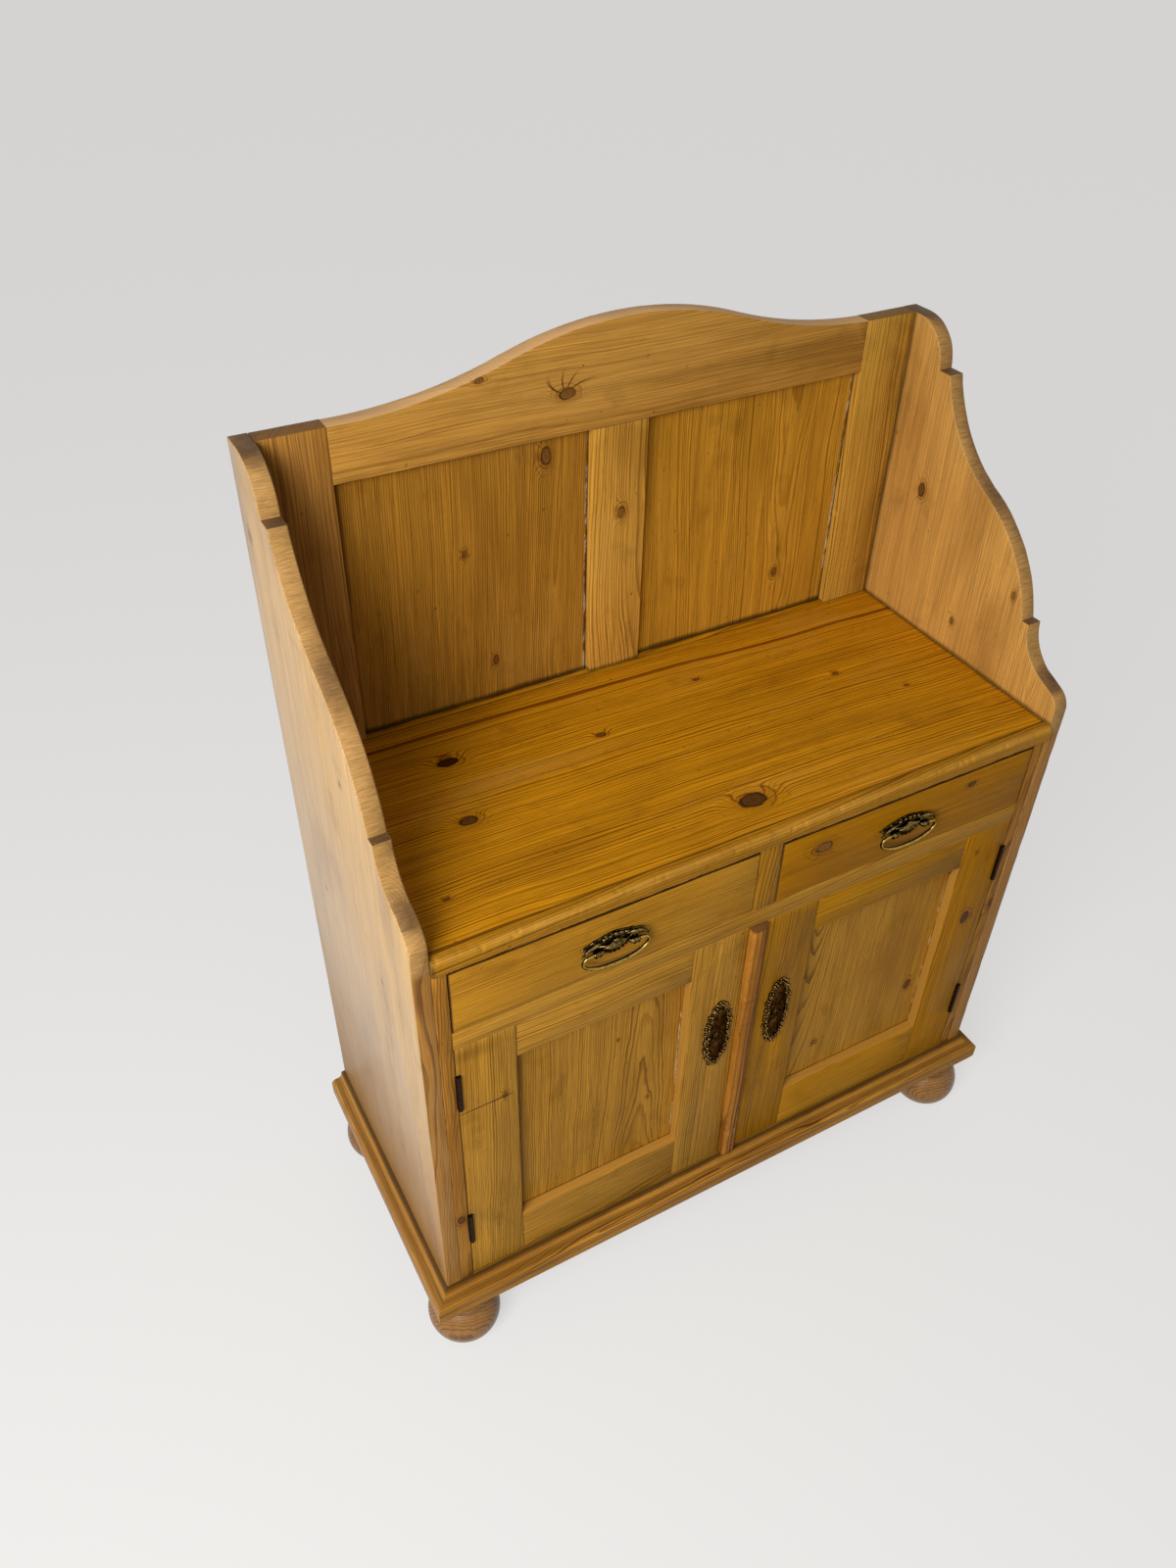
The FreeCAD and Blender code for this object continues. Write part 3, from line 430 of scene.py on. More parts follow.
def mesh_of(work, name):
    """The mesh that the work on it has made."""
    mesh = bpy.data.meshes.new(name)
    work.to_mesh(mesh)
    work.free()
    return mesh


def placed(name, data):
    """A new object in the scene."""
    made = bpy.data.objects.new(name, data)
    bpy.context.scene.collection.objects.link(made)
    return made


def add_on(name, mesh, material, node):
    """A finished piece that moves with a CAD node's body."""
    mesh.materials.clear()
    mesh.materials.append(material)
    piece = placed(name, mesh)
    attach(piece, nodes[node]["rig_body"])
    return piece


def stand_for(name, mesh, material, node):
    """A finished piece that takes the place of a CAD node."""
    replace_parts(add_on(name, mesh, material, node), node)


def arrises(work, axis, ends):
    """The sharp edges that lie on a board's two faces."""
    return [edge for edge in work.edges
            if len(edge.link_faces) == 2 and edge.is_convex and edge.calc_face_angle() > SHARP
            and any(all(abs(end - vert.co[axis]) < SAME_FACE for vert in edge.verts) for end in ends)]


def eased(name, face, width, seed):
    """The mesh of a CAD board with its arrises rounded to a width, and worn back here and there."""
    work = merged(nodes[name].data, 0.4)
    axis = "xyz".index(face)
    ends = [corner[axis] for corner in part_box(name)]
    for edge in arrises(work, axis, ends):
        cuts = int(edge.calc_length() / ARRIS_STEP)
        if cuts:
            bmesh.ops.subdivide_edges(work, edges=[edge], cuts=cuts)
    made = bmesh.ops.bevel(
        work, geom=arrises(work, axis, ends), offset=width, offset_type="OFFSET", segments=3,
        profile=0.5, affect="EDGES", clamp_overlap=False)["faces"]
    work.normal_update()
    round_faces = set(made)
    moves = []
    for vert in {vert for face_made in made for vert in face_made.verts}:
        share = max(0.0, noise.noise(vert.co * 38 + Vector((seed, seed, 0))) + 0.15)
        flat = [near for near in vert.link_faces if near not in round_faces]
        if not flat:
            moves.append((vert, vert.normal * -width * 0.6 * share))
        elif len(flat) == 1:
            middle = sum((near.calc_center_median() for near in vert.link_faces if near in round_faces),
                         Vector()) / (len(vert.link_faces) - 1)
            out = vert.co - middle
            out -= flat[0].normal * out.dot(flat[0].normal)
            if out.length > 0:
                moves.append((vert, out.normalized() * width * 0.9 * share))
    for vert, move in moves:
        vert.co += move
    mark = work.faces.layers.float.new("arris")
    for near in work.faces:
        near[mark] = float(near in round_faces)
        curved = any(0.005 < edge.calc_face_angle(0) < 0.35 and not round_faces.intersection(edge.link_faces)
                     for edge in near.edges)
        near.smooth = near in round_faces or curved
    for edge in work.edges:
        edge.smooth = edge.calc_face_angle(0) < SHARP
    return mesh_of(work, name + "_worn")


def worn_board(name, along, face, seed, rounding, wear_seed, **look):
    """A board of pine with worn arrises, which takes the place of a CAD node."""
    material = pine(name + "_pine", along, face, seed, **look)
    stand_for(name + "_worn", eased(name, face, rounding, wear_seed), material, name)


SIDE = {"rounding": 0.0016, "ring": 3.0, "edges": paint(160, 120, 66), "shine": 0.2, "sawn_above": 760}
# The left side's pale colour carries a painted sheen, which its painted low shade takes back towards the
# bottom.
worn_board(
    "side_left", "z", "x", 21, wear_seed=1, pith=(-150, -500), slope=(0.01, 0.06), contrast=0.45,
    early=paint(196, 158, 102), late=paint(156, 114, 62), polish=1.0, low_tone=paint(156, 108, 46),
    knots=((905, -22, 3), (630, 120, 3), (1088, 190, 5, 0.4), (379, 144, 2.5), (654, -77, 2.5),
           (315, -67, 3)),
    dirt=(("z", 782, 7, 0.7, ("x", -440, -430)), ("y", 191, 6, 0.7, ("x", -440, -430))), **SIDE)
worn_board(
    "side_right", "z", "x", 22, wear_seed=2, pith=(-140, 500), slope=(0.01, -0.06), contrast=0.6,
    early=paint(186, 138, 68), late=paint(140, 92, 34),
    knots=((975, 119, 7, 0.5), (827, 15, 4, 0.5), (914, -74, 4, 0.6)),
    dirt=(("z", 782, 7, 0.7, ("x", 440, 430)), ("y", 191, 6, 0.7, ("x", 440, 430))), **SIDE)


# Bottom, shelf and runners
# The case bottom sits in housings in the sides and shows as a low sill under the doors. One shelf
# lies on two cleats, and the drawers slide on runners. The inside was never waxed.

RAW = {"early": paint(186, 148, 92), "late": paint(146, 102, 50), "gloss": 0.7}
board("bottom_board", "x", "z", 31, dirt=(("y", -184, 3, 0.5),))
board("shelf", "x", "z", 32, pith=(20, 300), slope=(0.0, 0.04), **RAW)
board("shelf_cleats", "y", "x", 33, **RAW)
board("side_runners", "y", "z", 34, **RAW)
board("centre_runner", "y", "z", 35, **RAW)


# Front frame
# A narrow strip stands on the front edge of each side, with a rail between drawers and doors and a
# post between the drawers. All of it stands flush with the drawers and doors.

FRAME_ARRIS = 0.0008
THIN_ARRIS = 0.0006
STRIP = {"rounding": FRAME_ARRIS, "early": STRIP_EARLY, "late": STRIP_LATE}
worn_board(
    "front_strip_left", "z", "y", 41, wear_seed=3, pith=(-414, -166), slope=(0.012, 0.012), ring=2.4,
    contrast=0.9, knots=((287, -421, 6, 0.4),), dirt=(("x", -411, 1.5, 0.6), ("z", 146, 5, 0.5)), **STRIP)
worn_board(
    "front_strip_right", "z", "y", 42, wear_seed=4, pith=(420, -160), slope=(0.012, 0.02), ring=2.6,
    contrast=1.1, knots=((462, 424, 6, 0.3),), dirt=(("x", 411, 1.5, 0.6), ("z", 146, 5, 0.5)), **STRIP)
worn_board(
    "drawer_rail", "x", "y", 43, THIN_ARRIS, wear_seed=5, pith=(700, -150), slope=(0.01, 0.05), ring=3.2)
worn_board(
    "drawer_divider", "z", "y", 44, FRAME_ARRIS, wear_seed=6, pith=(60, -130), slope=(0.03, 0.05),
    ring=3.0, early=paint(158, 110, 28), late=paint(100, 60, 8))


# Worktop
# One wide board with a second one glued behind it, worn smooth and waxed to a deep gold. Its front
# edge has an applied nosing.

GOLD = {"early": paint(190, 129, 16), "late": paint(118, 64, 0)}
board("worktop", "x", "z", 51, pith=(-470, 560), slope=(-0.05, 0.02), gloss=0.36, contrast=1.25,
      knots=((-283, 103, 9), (-304, -6, 8, 0.45), (-90, 65, 5, 0.3), (7, -128, 13, 0.4),
             (81, 112, 3.5, 0.3), (255, 37, 4, 0.3), (323, -29, 3, 0.3), (-377, -110, 3, 0.2)),
      dirt=(("y", 191, 1.5, 0.6), ("y", 205, 26, 0.5), ("x", -428, 10, 0.75), ("x", 428, 6, 0.6),
            ("y", -173, 3, 0.5), ("y", -101, 0.9, 0.8)), **GOLD)


def skin(work, rings, ends=False):
    """Adds faces from each ring of points to the next one, and over the two ends."""
    for ring, after in zip(rings, rings[1:]):
        for number in range(len(ring)):
            other = (number + 1) % len(ring)
            work.faces.new((ring[number], ring[other], after[other], after[number]))
    if ends:
        work.faces.new(rings[0])
        work.faces.new(rings[-1])


def planed(name, axis, stations, profile, wear):
    """The mesh of a bar with one profile, which hands have worn. Its profile is a closed line of
    points across the axis, in mm from the box's low corner, each with the most that wear takes off
    it inwards."""
    low = box_mm(name)[0]
    corner = (low.y, low.z) if axis == "x" else (low.x, low.y)
    corners = np.array([point[:2] for point in profile], dtype=float) + corner
    soft = np.array([point[2] for point in profile], dtype=float)
    middle = corners.mean(axis=0)
    work = bmesh.new()
    mark = work.verts.layers.float.new("arris")
    rings = []
    for station in stations:
        ring = []
        for (a, b), give in zip(corners, soft):
            lump = noise.noise(Vector((station * 0.045, a * 0.09, b * 0.09 + wear)))
            chip = noise.noise(Vector((station * 0.16, a * 0.2, b * 0.2 - wear)))
            share = give * (max(0.0, lump * 0.9 + 0.35) + max(0.0, chip * 2.2 - 0.55) * 1.4)
            inward = middle - (a, b)
            a, b = (a, b) + inward / np.hypot(*inward) * share
            vert = work.verts.new(Vector((station, a, b) if axis == "x" else (a, b, station)) / MM)
            vert[mark] = min(1.0, give * 0.45)
            ring.append(vert)
        rings.append(ring)
    skin(work, rings, ends=True)
    bmesh.ops.recalc_face_normals(work, faces=work.faces)
    for face_made in work.faces:
        face_made.smooth = len(face_made.verts) == 4
    for edge in work.edges:
        edge.smooth = edge.calc_face_angle(0) < radians(50)
    return mesh_of(work, name + "_worn")


NOSING = (
    (16, 0, 0), (8.5, 0, 0.2), (3.5, 0.2, 0.4), (1.3, 0.8, 0.8), (0, 2.4, 0.9), (0, 6, 0.5), (0, 10, 0.3),
    (0, 14, 0.6), (0.3, 18, 1.2), (1.3, 20.2, 1.7), (3.1, 21.8, 1.7), (5.5, 22.7, 1.0), (8.5, 23, 0.4),
    (12.5, 23, 0.1), (16, 23, 0))
low, high = box_mm("worktop_nosing")
nosing = planed(
    "worktop_nosing", "x", [*np.linspace(low.x, low.x + 8, 9), *np.linspace(low.x + 10, high.x, 400)],
    NOSING, wear=7.0)
stand_for("worktop_nosing_worn", nosing, pine(
    "worktop_nosing_pine", "x", "y", 52, pith=(850, -120), slope=(0.03, 0.02), ring=3.0, gloss=0.4,
    early=paint(160, 108, 14), late=paint(96, 56, 2), arris=paint(206, 156, 70), shine=0.05,
    contrast=1.1, dirt=(("z", 758.7, 3, 0.8), ("x", -428, 6, 0.7), ("y", -174, 1.2, 0.8)),
), "worktop_nosing")


# Gallery back
# A frame of two stiles, a shaped crest rail, a middle rail and a muntin, grooved for two thin
# panels. Old filler clings beside the panels.

worn_board(
    "back_stile_left", "z", "y", 61, THIN_ARRIS, wear_seed=8, pith=(-300, 80), slope=(0.02, 0.03),
    ring=3.4, early=paint(160, 112, 50), late=paint(108, 66, 20), dirt=(("x", -428, 12, 0.5),))
worn_board(
    "back_stile_right", "z", "y", 62, THIN_ARRIS, wear_seed=9, pith=(460, 90), slope=(0.02, 0.03),
    ring=3.4, early=paint(178, 132, 50), late=paint(118, 74, 14), dirt=(("x", 428, 5, 0.5),))
worn_board(
    "crest_rail", "x", "y", 63, 0.0014, wear_seed=10, pith=(1010, 90), slope=(0.0, 0.02), ring=4.4,
    early=paint(173, 125, 54), late=paint(126, 82, 26), contrast=0.6, edges=paint(206, 162, 110),
    knots=((-73, 1172, 7.5, 0.75, 1), (-180, 1206, 4, 0.6)))
worn_board(
    "back_muntin", "z", "y", 64, FRAME_ARRIS, wear_seed=11, pith=(40, 90), slope=(0.02, 0.05),
    early=paint(190, 138, 54), knots=((1008, 3, 6, 0.8),), dirt=(("z", 783, 7, 0.7),))
board("back_middle_rail", "x", "y", 65, dirt=(("y", 203, 7, 0.95), ("y", 191, 1.2, 0.5)), **GOLD)
board("back_panel_left", "z", "y", 66, pith=(-118, 172), slope=(0.04, 0.03), ring=2.8,
      early=paint(156, 108, 34), late=paint(100, 60, 10),
      knots=((1097, -94, 8, 0.7), (996, -203, 4, 0.4), (836, -168, 5, 0.5)),
      dirt=(("x", -353, 9, 0.75), ("x", -38, 6, 0.85), ("z", 783, 7, 0.8), ("z", 1122, 7, 0.6)),
      flecks=(("x", -39, 3.5, 0.95, ("z", 1110, 1040)), ("x", -39, 2.5, 0.7)))
board("back_panel_right", "z", "y", 67, pith=(300, 120), slope=(-0.03, 0.03), ring=2.6,
      early=paint(178, 126, 36), late=paint(122, 76, 10), knots=((850, 263, 5, 0.6),),
      dirt=(("x", 38, 6, 0.7), ("x", 353, 6, 0.85), ("z", 783, 7, 0.8), ("z", 1122, 7, 0.6)),
      flecks=(("x", 351, 3.5, 0.95),))
board("lower_back_boards", "z", "y", 68, **RAW)


# Doors
# Each door is a frame, mortised and tenoned, round a thin recessed panel. The strip that covers the
# meeting edges is fixed to the right door.

DOOR = {"slope": (0.02, 0.03), "ring": 3.4, "edges": paint(170, 122, 50)}
DOOR_BOARDS = (
    ("left", "hinge_stile", "z", dict(
        pith=(-300, -250), ring=2.8, knots=((509, -352, 4, 0.7),),
        dirt=(("z", 507, 2.2, 0.85, ("x", -335, -350)), ("z", 612, 16, 0.32, ("x", -345, -385))))),
    ("left", "meeting_stile", "z", dict(pith=(20, -240), slope=(0.03, 0.03))),
    ("left", "top_rail", "x", dict(pith=(700, -240))),
    ("left", "bottom_rail", "x", dict(pith=(150, -240))),
    # Painted shade: the right door's boards are coloured yellower, with less blue than the left's, for the
    # lesser sheen on that side.
    ("right", "meeting_stile", "z", dict(
        pith=(120, -240), slope=(0.03, 0.02), early=paint(164, 112, 14), late=paint(108, 66, 2))),
    ("right", "hinge_stile", "z", dict(
        pith=(300, -240), slope=(0.03, 0.03), early=paint(164, 110, 4), late=paint(108, 64, 0),
        knots=((455, 376, 8, 0.3), (589, 360, 3, 0.5)))),
    ("right", "top_rail", "x", dict(pith=(650, -240), early=paint(170, 118, 14), late=paint(112, 70, 2))),
    ("right", "bottom_rail", "x", dict(pith=(330, -240), early=paint(184, 128, 22), late=paint(124, 76, 4))),
)


def shoulders(side):
    """Where the rails of a door meet its two stiles."""
    inner = 1 if side == "right" else 0
    return (box_mm(side + "_door_meeting_stile")[inner].x, box_mm(side + "_door_hinge_stile")[1 - inner].x)


for number, (side, part, along, look) in enumerate(DOOR_BOARDS):
    dirt = [("x", x, 1.3, 0.9) for x in shoulders(side)] if "rail" in part else look.get("dirt", ())
    worn_board(side + "_door_" + part, along, "y", 71 + number, FRAME_ARRIS, wear_seed=20 + number,
               **{**DOOR, **look, "dirt": dirt})
for number, (side, x0, x1, look) in enumerate((
        ("left", -337, -96, dict(
            pith=(-150, -205), slope=(0.0, -0.05), ring=2.5, contrast=1.0,
            knots=((500, -190, 2, 0.4), (350, -140, 2, 0.4)))),
        ("right", 89, 335, dict(
            pith=(84, -228), slope=(0.05, 0.06), ring=3.0, contrast=1.1,
            knots=((332, 310, 7, 0.5), (295, 143, 4, 0.7)))))):
    board(side + "_door_panel", "z", "y", 81 + number, early=paint(178, 128, 44), late=paint(112, 68, 10),
          dirt=(("x", x0, 5, 0.7), ("x", x1, 3, 0.8), ("z", 234, 4, 0.8), ("z", 572, 7, 0.7)),
          flecks=(("x", x1 - 1.2, 2.4, 0.8, ("z", 540, 480)), ("x", x1 - 1.2, 1.6, 0.5)), **look)

COVER_STRIP = (
    (0, 31, 0), (0, 18.5, 0.1), (0, 4.5, 0.3), (0.4, 2.1, 0.9), (1.6, 0.6, 1.4), (3.6, 0, 1.2),
    (9, 0, 0.06), (14, 0, 0.06), (17, 0.2, 0.3), (20.5, 1.2, 1.2), (23.4, 3.4, 1.4), (25.2, 6.0, 1.2),
    (26, 8.5, 0.4), (26, 18.5, 0.1), (26, 31, 0))
low, high = box_mm("meeting_strip")
strip = planed(
    "meeting_strip", "z", [*np.linspace(low.z, low.z + 60, 40), *np.linspace(low.z + 64, high.z, 160)],
    COVER_STRIP, wear=3.0)


def cut_away(mesh, shape):
    """A mesh less the room that another shape takes up. Both are left without their objects."""
    blank, cutter = placed("blank", mesh), placed("cutter", shape)
    cut = blank.modifiers.new("cut", "BOOLEAN")
    cut.object = cutter
    cut.solver = "EXACT"
    made = bpy.data.meshes.new_from_object(blank.evaluated_get(bpy.context.evaluated_depsgraph_get()))
    for item in (blank, cutter):
        bpy.data.objects.remove(item)
    return made


# The mortise in the strip that the lock's bolt is thrown into.
BOLT_THROW = 8.0
BOLT_ROOM = 0.5
bolt_low, bolt_high = box_mm("lock_bolt")
mortise_low = Vector((low.x - 1, bolt_low.y - BOLT_ROOM, bolt_low.z - BOLT_ROOM))
mortise_high = bolt_high + Vector((BOLT_THROW + BOLT_ROOM, BOLT_ROOM, BOLT_ROOM))
mortise = bmesh.new()
bmesh.ops.create_cube(mortise, size=1.0, matrix=(
    Matrix.Translation((mortise_low + mortise_high) / 2 / MM)
    @ Matrix.Diagonal((*((mortise_high - mortise_low) / MM), 1))))
stand_for("meeting_strip_worn", cut_away(strip, mesh_of(mortise, "mortise")), pine(
    "meeting_strip_pine", "z", "x", 85, pith=(-190, 330), slope=(0.0, 0.012), ring=6.0,
    early=paint(170, 112, 40), late=paint(84, 40, 4), contrast=1.8, arris=paint(158, 104, 42),
    dirt=(("x", 9.6, 6, 0.85), ("z", 627.7, 4, 0.7), ("z", 149.7, 6, 0.6)),
), "meeting_strip")


# Drawers
# Two pine boxes, with half-blind dovetails at the front, through ones at the back and the bottom in
# grooves. Only their fronts are waxed.

# Painted shade: the right drawer front is coloured darker and yellower than the left, for the lesser sheen
# on that side.
for number, (side, early, knots) in enumerate((
        ("left", paint(176, 124, 34), ()),
        ("right", paint(160, 106, 6), ((80, 721, 9, 0.85), (312, 730, 5, 0.2))))):
    drawer = side + "_drawer_"
    low, high = box_mm(drawer + "front")
    worn_board(drawer + "front", "x", "y", 91 + number, 0.0010, wear_seed=41 + number,
               pith=(880, -280), slope=(0.02, 0.03), ring=3.2, knots=knots, early=early,
               late=paint(116, 72, 2), contrast=0.6,
               dirt=(("z", 752.4, 1.6, 0.95), ("z", 657.4, 1.2, 0.6), ("x", low.x, 1.6, 0.95),
                     ("x", high.x, 1.6, 0.8)))
    for part, along, face in (("sides", "y", "x"), ("back", "x", "y"), ("bottom", "x", "z")):
        board(drawer + part, along, face, 95 + number, **RAW)


# Hinges
# Four iron butt hinges with five knuckles on a pin. Both leaves of each are let into the door's
# edge, and three countersunk screws hold each leaf.


def metal(name, bright, dark, gloss, rub_and_light, bare=1.0, shine=0.5):
    """Old metal: lighter on its front and upper faces and darker on its lower ones, which is partly
    rubbed raised parts and patina in the hollows and partly painted highlight and painted shade.
    Bare is how metallic it still looks."""
    material, shader, place = new_material(name)
    facing = place.also("Normal").parts()
    cloud = place.noise(240.0, 3.0)
    fine = place.noise(1400.0)
    # Painted highlight on front and upper faces and painted shade on lower ones, mixed with rubbing and
    # patina.
    share = (facing["y"] * -0.8 + facing["z"] * 0.45 + (cloud - 0.5) * 0.7 + (fine - 0.5) * 0.5).rise(*rub_and_light)
    place.feed(shader, {
        "Base Color": share.tint(dark, bright), "Roughness": share * -0.22 + fine * 0.2 + gloss,
        "Normal": (fine + cloud).bump(0.00012), "Metallic": bare, "Specular IOR Level": shine,
        "Specular Tint": bright})
    return material


def nodes_tree(name, **inputs):
    """An empty tree of Geometry Nodes with a geometry and these named numbers going in."""
    tree = bpy.data.node_groups.new(name, "GeometryNodeTree")
    tree.interface.new_socket("Geometry", in_out="INPUT", socket_type="NodeSocketGeometry")
    for key, value in inputs.items():
        kind = "NodeSocketInt" if isinstance(value, int) else "NodeSocketFloat"
        kind = "NodeSocketMaterial" if value is None else kind
        socket = tree.interface.new_socket(key, in_out="INPUT", socket_type=kind)
        if value is not None:
            socket.default_value = value
    tree.interface.new_socket("Geometry", in_out="OUTPUT", socket_type="NodeSocketGeometry")
    given = tree.nodes.new("NodeGroupInput")

    def add(kind, settings=None, **links):
        """Adds a node. Its values are numbers, or the sockets that its inputs are linked to."""
        made = tree.nodes.new(kind)
        for key, value in (settings or {}).items():
            setattr(made, key, value)
        for key, value in links.items():
            where = made.inputs[int(key[1:]) if key[1:].isdigit() else key.replace("_", " ")]
            if isinstance(value, bpy.types.NodeSocket):
                tree.links.new(value, where)
            else:
                where.default_value = value
        return made.outputs

    return tree, given.outputs, add


def times(add, first, second):
    """The product of two numbers in a tree."""
    return add("ShaderNodeMath", {"operation": "MULTIPLY"}, _0=first, _1=second)["Value"]


def finish_tree(tree, add, shape, finish):
    """Ends a tree: real faces instead of instances, smooth, in one material."""
    real = add("GeometryNodeRealizeInstances", Geometry=shape)
    smooth = add("GeometryNodeSetShadeSmooth", Geometry=real["Geometry"])
    done = add("GeometryNodeSetMaterial", Geometry=smooth["Geometry"], Material=finish)
    output = tree.nodes.new("NodeGroupOutput")
    tree.links.new(done["Geometry"], output.inputs[0])


def grown(tree, base, **values):
    """The plain mesh that a tree makes from a base mesh."""
    base_object = placed("base", base)
    modifier = base_object.modifiers.new("grow", "NODES")
    modifier.node_group = tree
    for item in tree.interface.items_tree:
        key = item.name.lower()
        if item.in_out == "INPUT" and key in values:
            modifier[item.identifier] = values[key]
    seen = base_object.evaluated_get(bpy.context.evaluated_depsgraph_get())
    mesh = bpy.data.meshes.new_from_object(seen)
    bpy.data.objects.remove(base_object)
    return mesh


# A slotted head on every point: a low cone with its edge down, a slot cut across it, turned at random.
heads, head_in, add = nodes_tree(
    "slotted_heads", Radius=0.0025, Crown=0.92, Height=0.0008, Slot_Width=0.0007, Slot_Depth=0.0005,
    Seed=1, Finish=None)
cap = add("GeometryNodeMeshCone", Vertices=20, Radius_Top=times(add, head_in["Radius"], head_in["Crown"]),
          Radius_Bottom=head_in["Radius"], Depth=head_in["Height"])
bar = add("ShaderNodeCombineXYZ", X=times(add, head_in["Radius"], 3.0), Y=head_in["Slot_Width"],
          Z=times(add, head_in["Slot_Depth"], 2.0))
saw = add("GeometryNodeMeshCube", Size=bar["Vector"])
level = add("ShaderNodeCombineXYZ", Z=head_in["Height"])
lifted = add("GeometryNodeTransform", Geometry=saw["Mesh"], Translation=level["Vector"])
cut = add("GeometryNodeMeshBoolean", {"operation": "DIFFERENCE", "solver": "EXACT"},
          Mesh_1=cap["Mesh"], Mesh_2=lifted["Geometry"])
way = add("GeometryNodeInputNamedAttribute", {"data_type": "FLOAT_VECTOR"}, Name="facing")
aimed = add("FunctionNodeAlignRotationToVector", {"axis": "Z"}, Vector=way["Attribute"])
spin = add("FunctionNodeRandomValue", {"data_type": "FLOAT"}, _2=0.0, _3=2 * pi, Seed=head_in["Seed"])
twist = add("ShaderNodeCombineXYZ", Z=spin[1])
turned = add("FunctionNodeRotateRotation", {"rotation_space": "LOCAL"},
             Rotation=aimed["Rotation"], Rotate_By=twist["Vector"])
headed = add("GeometryNodeInstanceOnPoints", Points=head_in["Geometry"], Instance=cut["Mesh"],
             Rotation=turned["Rotation"])
finish_tree(heads, add, headed["Instances"], head_in["Finish"])


def screws(name, places, ways, material, slot, node, **sizes):
    """Slotted heads at places in mm, each facing its own way, that move with a CAD node's body."""
    points = bpy.data.meshes.new("points")
    points.from_pydata([tuple(place / MM) for place in places], [], [])
    facing = points.attributes.new("facing", "FLOAT_VECTOR", "POINT")
    for item, out in zip(facing.data, ways):
        item.vector = out
    add_on(name, grown(heads, points, finish=material, **sizes), material, node)


# Like all metal here, the iron carries a painted highlight on upper faces and painted shade beneath.
iron = metal("old_iron", paint(62, 36, 20), paint(22, 11, 6), 0.6, rub_and_light=(0.4, 1.3), bare=0.2, shine=0.25)
HINGE_LENGTH = 63.5
PIN_RADIUS = 1.6
LEAF_GAP = 0.2
# Each screw's place up from the middle of its leaf and back from the pin.
LEAF_SCREWS = ((-22.0, 8.9), (0.0, 12.4), (22.0, 8.9))
SINK_RADIUS = 3.2
SINK_DEPTH = 0.9
HEAD_ROOM = 0.15
SLOT = {"slot_width": 0.0008, "slot_depth": 0.0006}
low, high = box_mm("hinge_pins")
pin_x = high.x - PIN_RADIUS
pin_y = (low.y + high.y) / 2
hinge_heights = (high.z - HINGE_LENGTH / 2, low.z + HINGE_LENGTH / 2)
finish_node("hinge_pins", iron)
for name, sides, outward in (("hinge_case_leaves", (-1, 1), -1), ("left_door_hinge_leaves", (-1,), 1),
                             ("right_door_hinge_leaves", (1,), 1)):
    sinks = bmesh.new()
    places, ways = [], []
    for side in sides:
        out = Vector((side * outward, 0, 0))
        turn = out.to_track_quat("Z", "Y").to_matrix().to_4x4()
        for height in hinge_heights:
            for rise, back in LEAF_SCREWS:
                spot = Vector((side * (pin_x - outward * LEAF_GAP / 2), pin_y + back, height + rise))
                places.append(spot - out * SINK_DEPTH)
                ways.append(out)
                bmesh.ops.create_cone(
                    sinks, cap_ends=True, segments=20, radius1=SINK_RADIUS / MM,
                    radius2=SINK_RADIUS / MM, depth=SINK_DEPTH * 2 / MM,
                    matrix=Matrix.Translation(spot / MM) @ turn)
    leaf = mesh_of(merged(nodes[name].data, 0.3), name + "_merged")
    drilled = cut_away(leaf, mesh_of(sinks, "sinks"))
    stand_for(name + "_drilled", drilled, iron, name)
    screws(name + "_screws", places, ways, iron, "dark_iron", name,
           radius=(SINK_RADIUS - HEAD_ROOM) / MM, height=0.0008, seed=5, **SLOT)


# Lock
# An iron lock let into the back of the left door, held by four screws. Its bolt goes behind the
# right door.

LOCK_INSET = 6.0
finish_node("lock_case", iron)
finish_node("lock_bolt", iron)
low, high = box_mm("lock_case")
corners = [Vector((x, high.y, z)) for x in (low.x + LOCK_INSET, high.x - LOCK_INSET)
           for z in (low.z + LOCK_INSET, high.z - LOCK_INSET)]
screws("lock_screws", corners, [Vector((0, 1, 0))] * 4, iron, "dark_iron", "lock_case",
       radius=0.0032, height=0.0009, seed=3, **SLOT)


# Pulls
# Cast brass in the rococo taste, gone dark: a fan of ribs under a crest of knobs, a leaf running out
# to each side, and two ringed collars that hold the hanging bail. Two pins fix each to its drawer.


def soft_line(points, steps):
    """Points on a soft curve through the given ones, so many to each stretch."""
    ends = [points[0] * 2 - points[1], *points, points[-1] * 2 - points[-2]]
    line = []
    for a, b, c, d in zip(ends, ends[1:], ends[2:], ends[3:]):
        for step in range(steps):
            t = step / steps
            line.append(0.5 * (b * 2 + (c - a) * t + (a * 2 - b * 5 + c * 4 - d) * t ** 2
                               + (b * 3 - a - c * 3 + d) * t ** 3))
    return [*line, points[-1]]


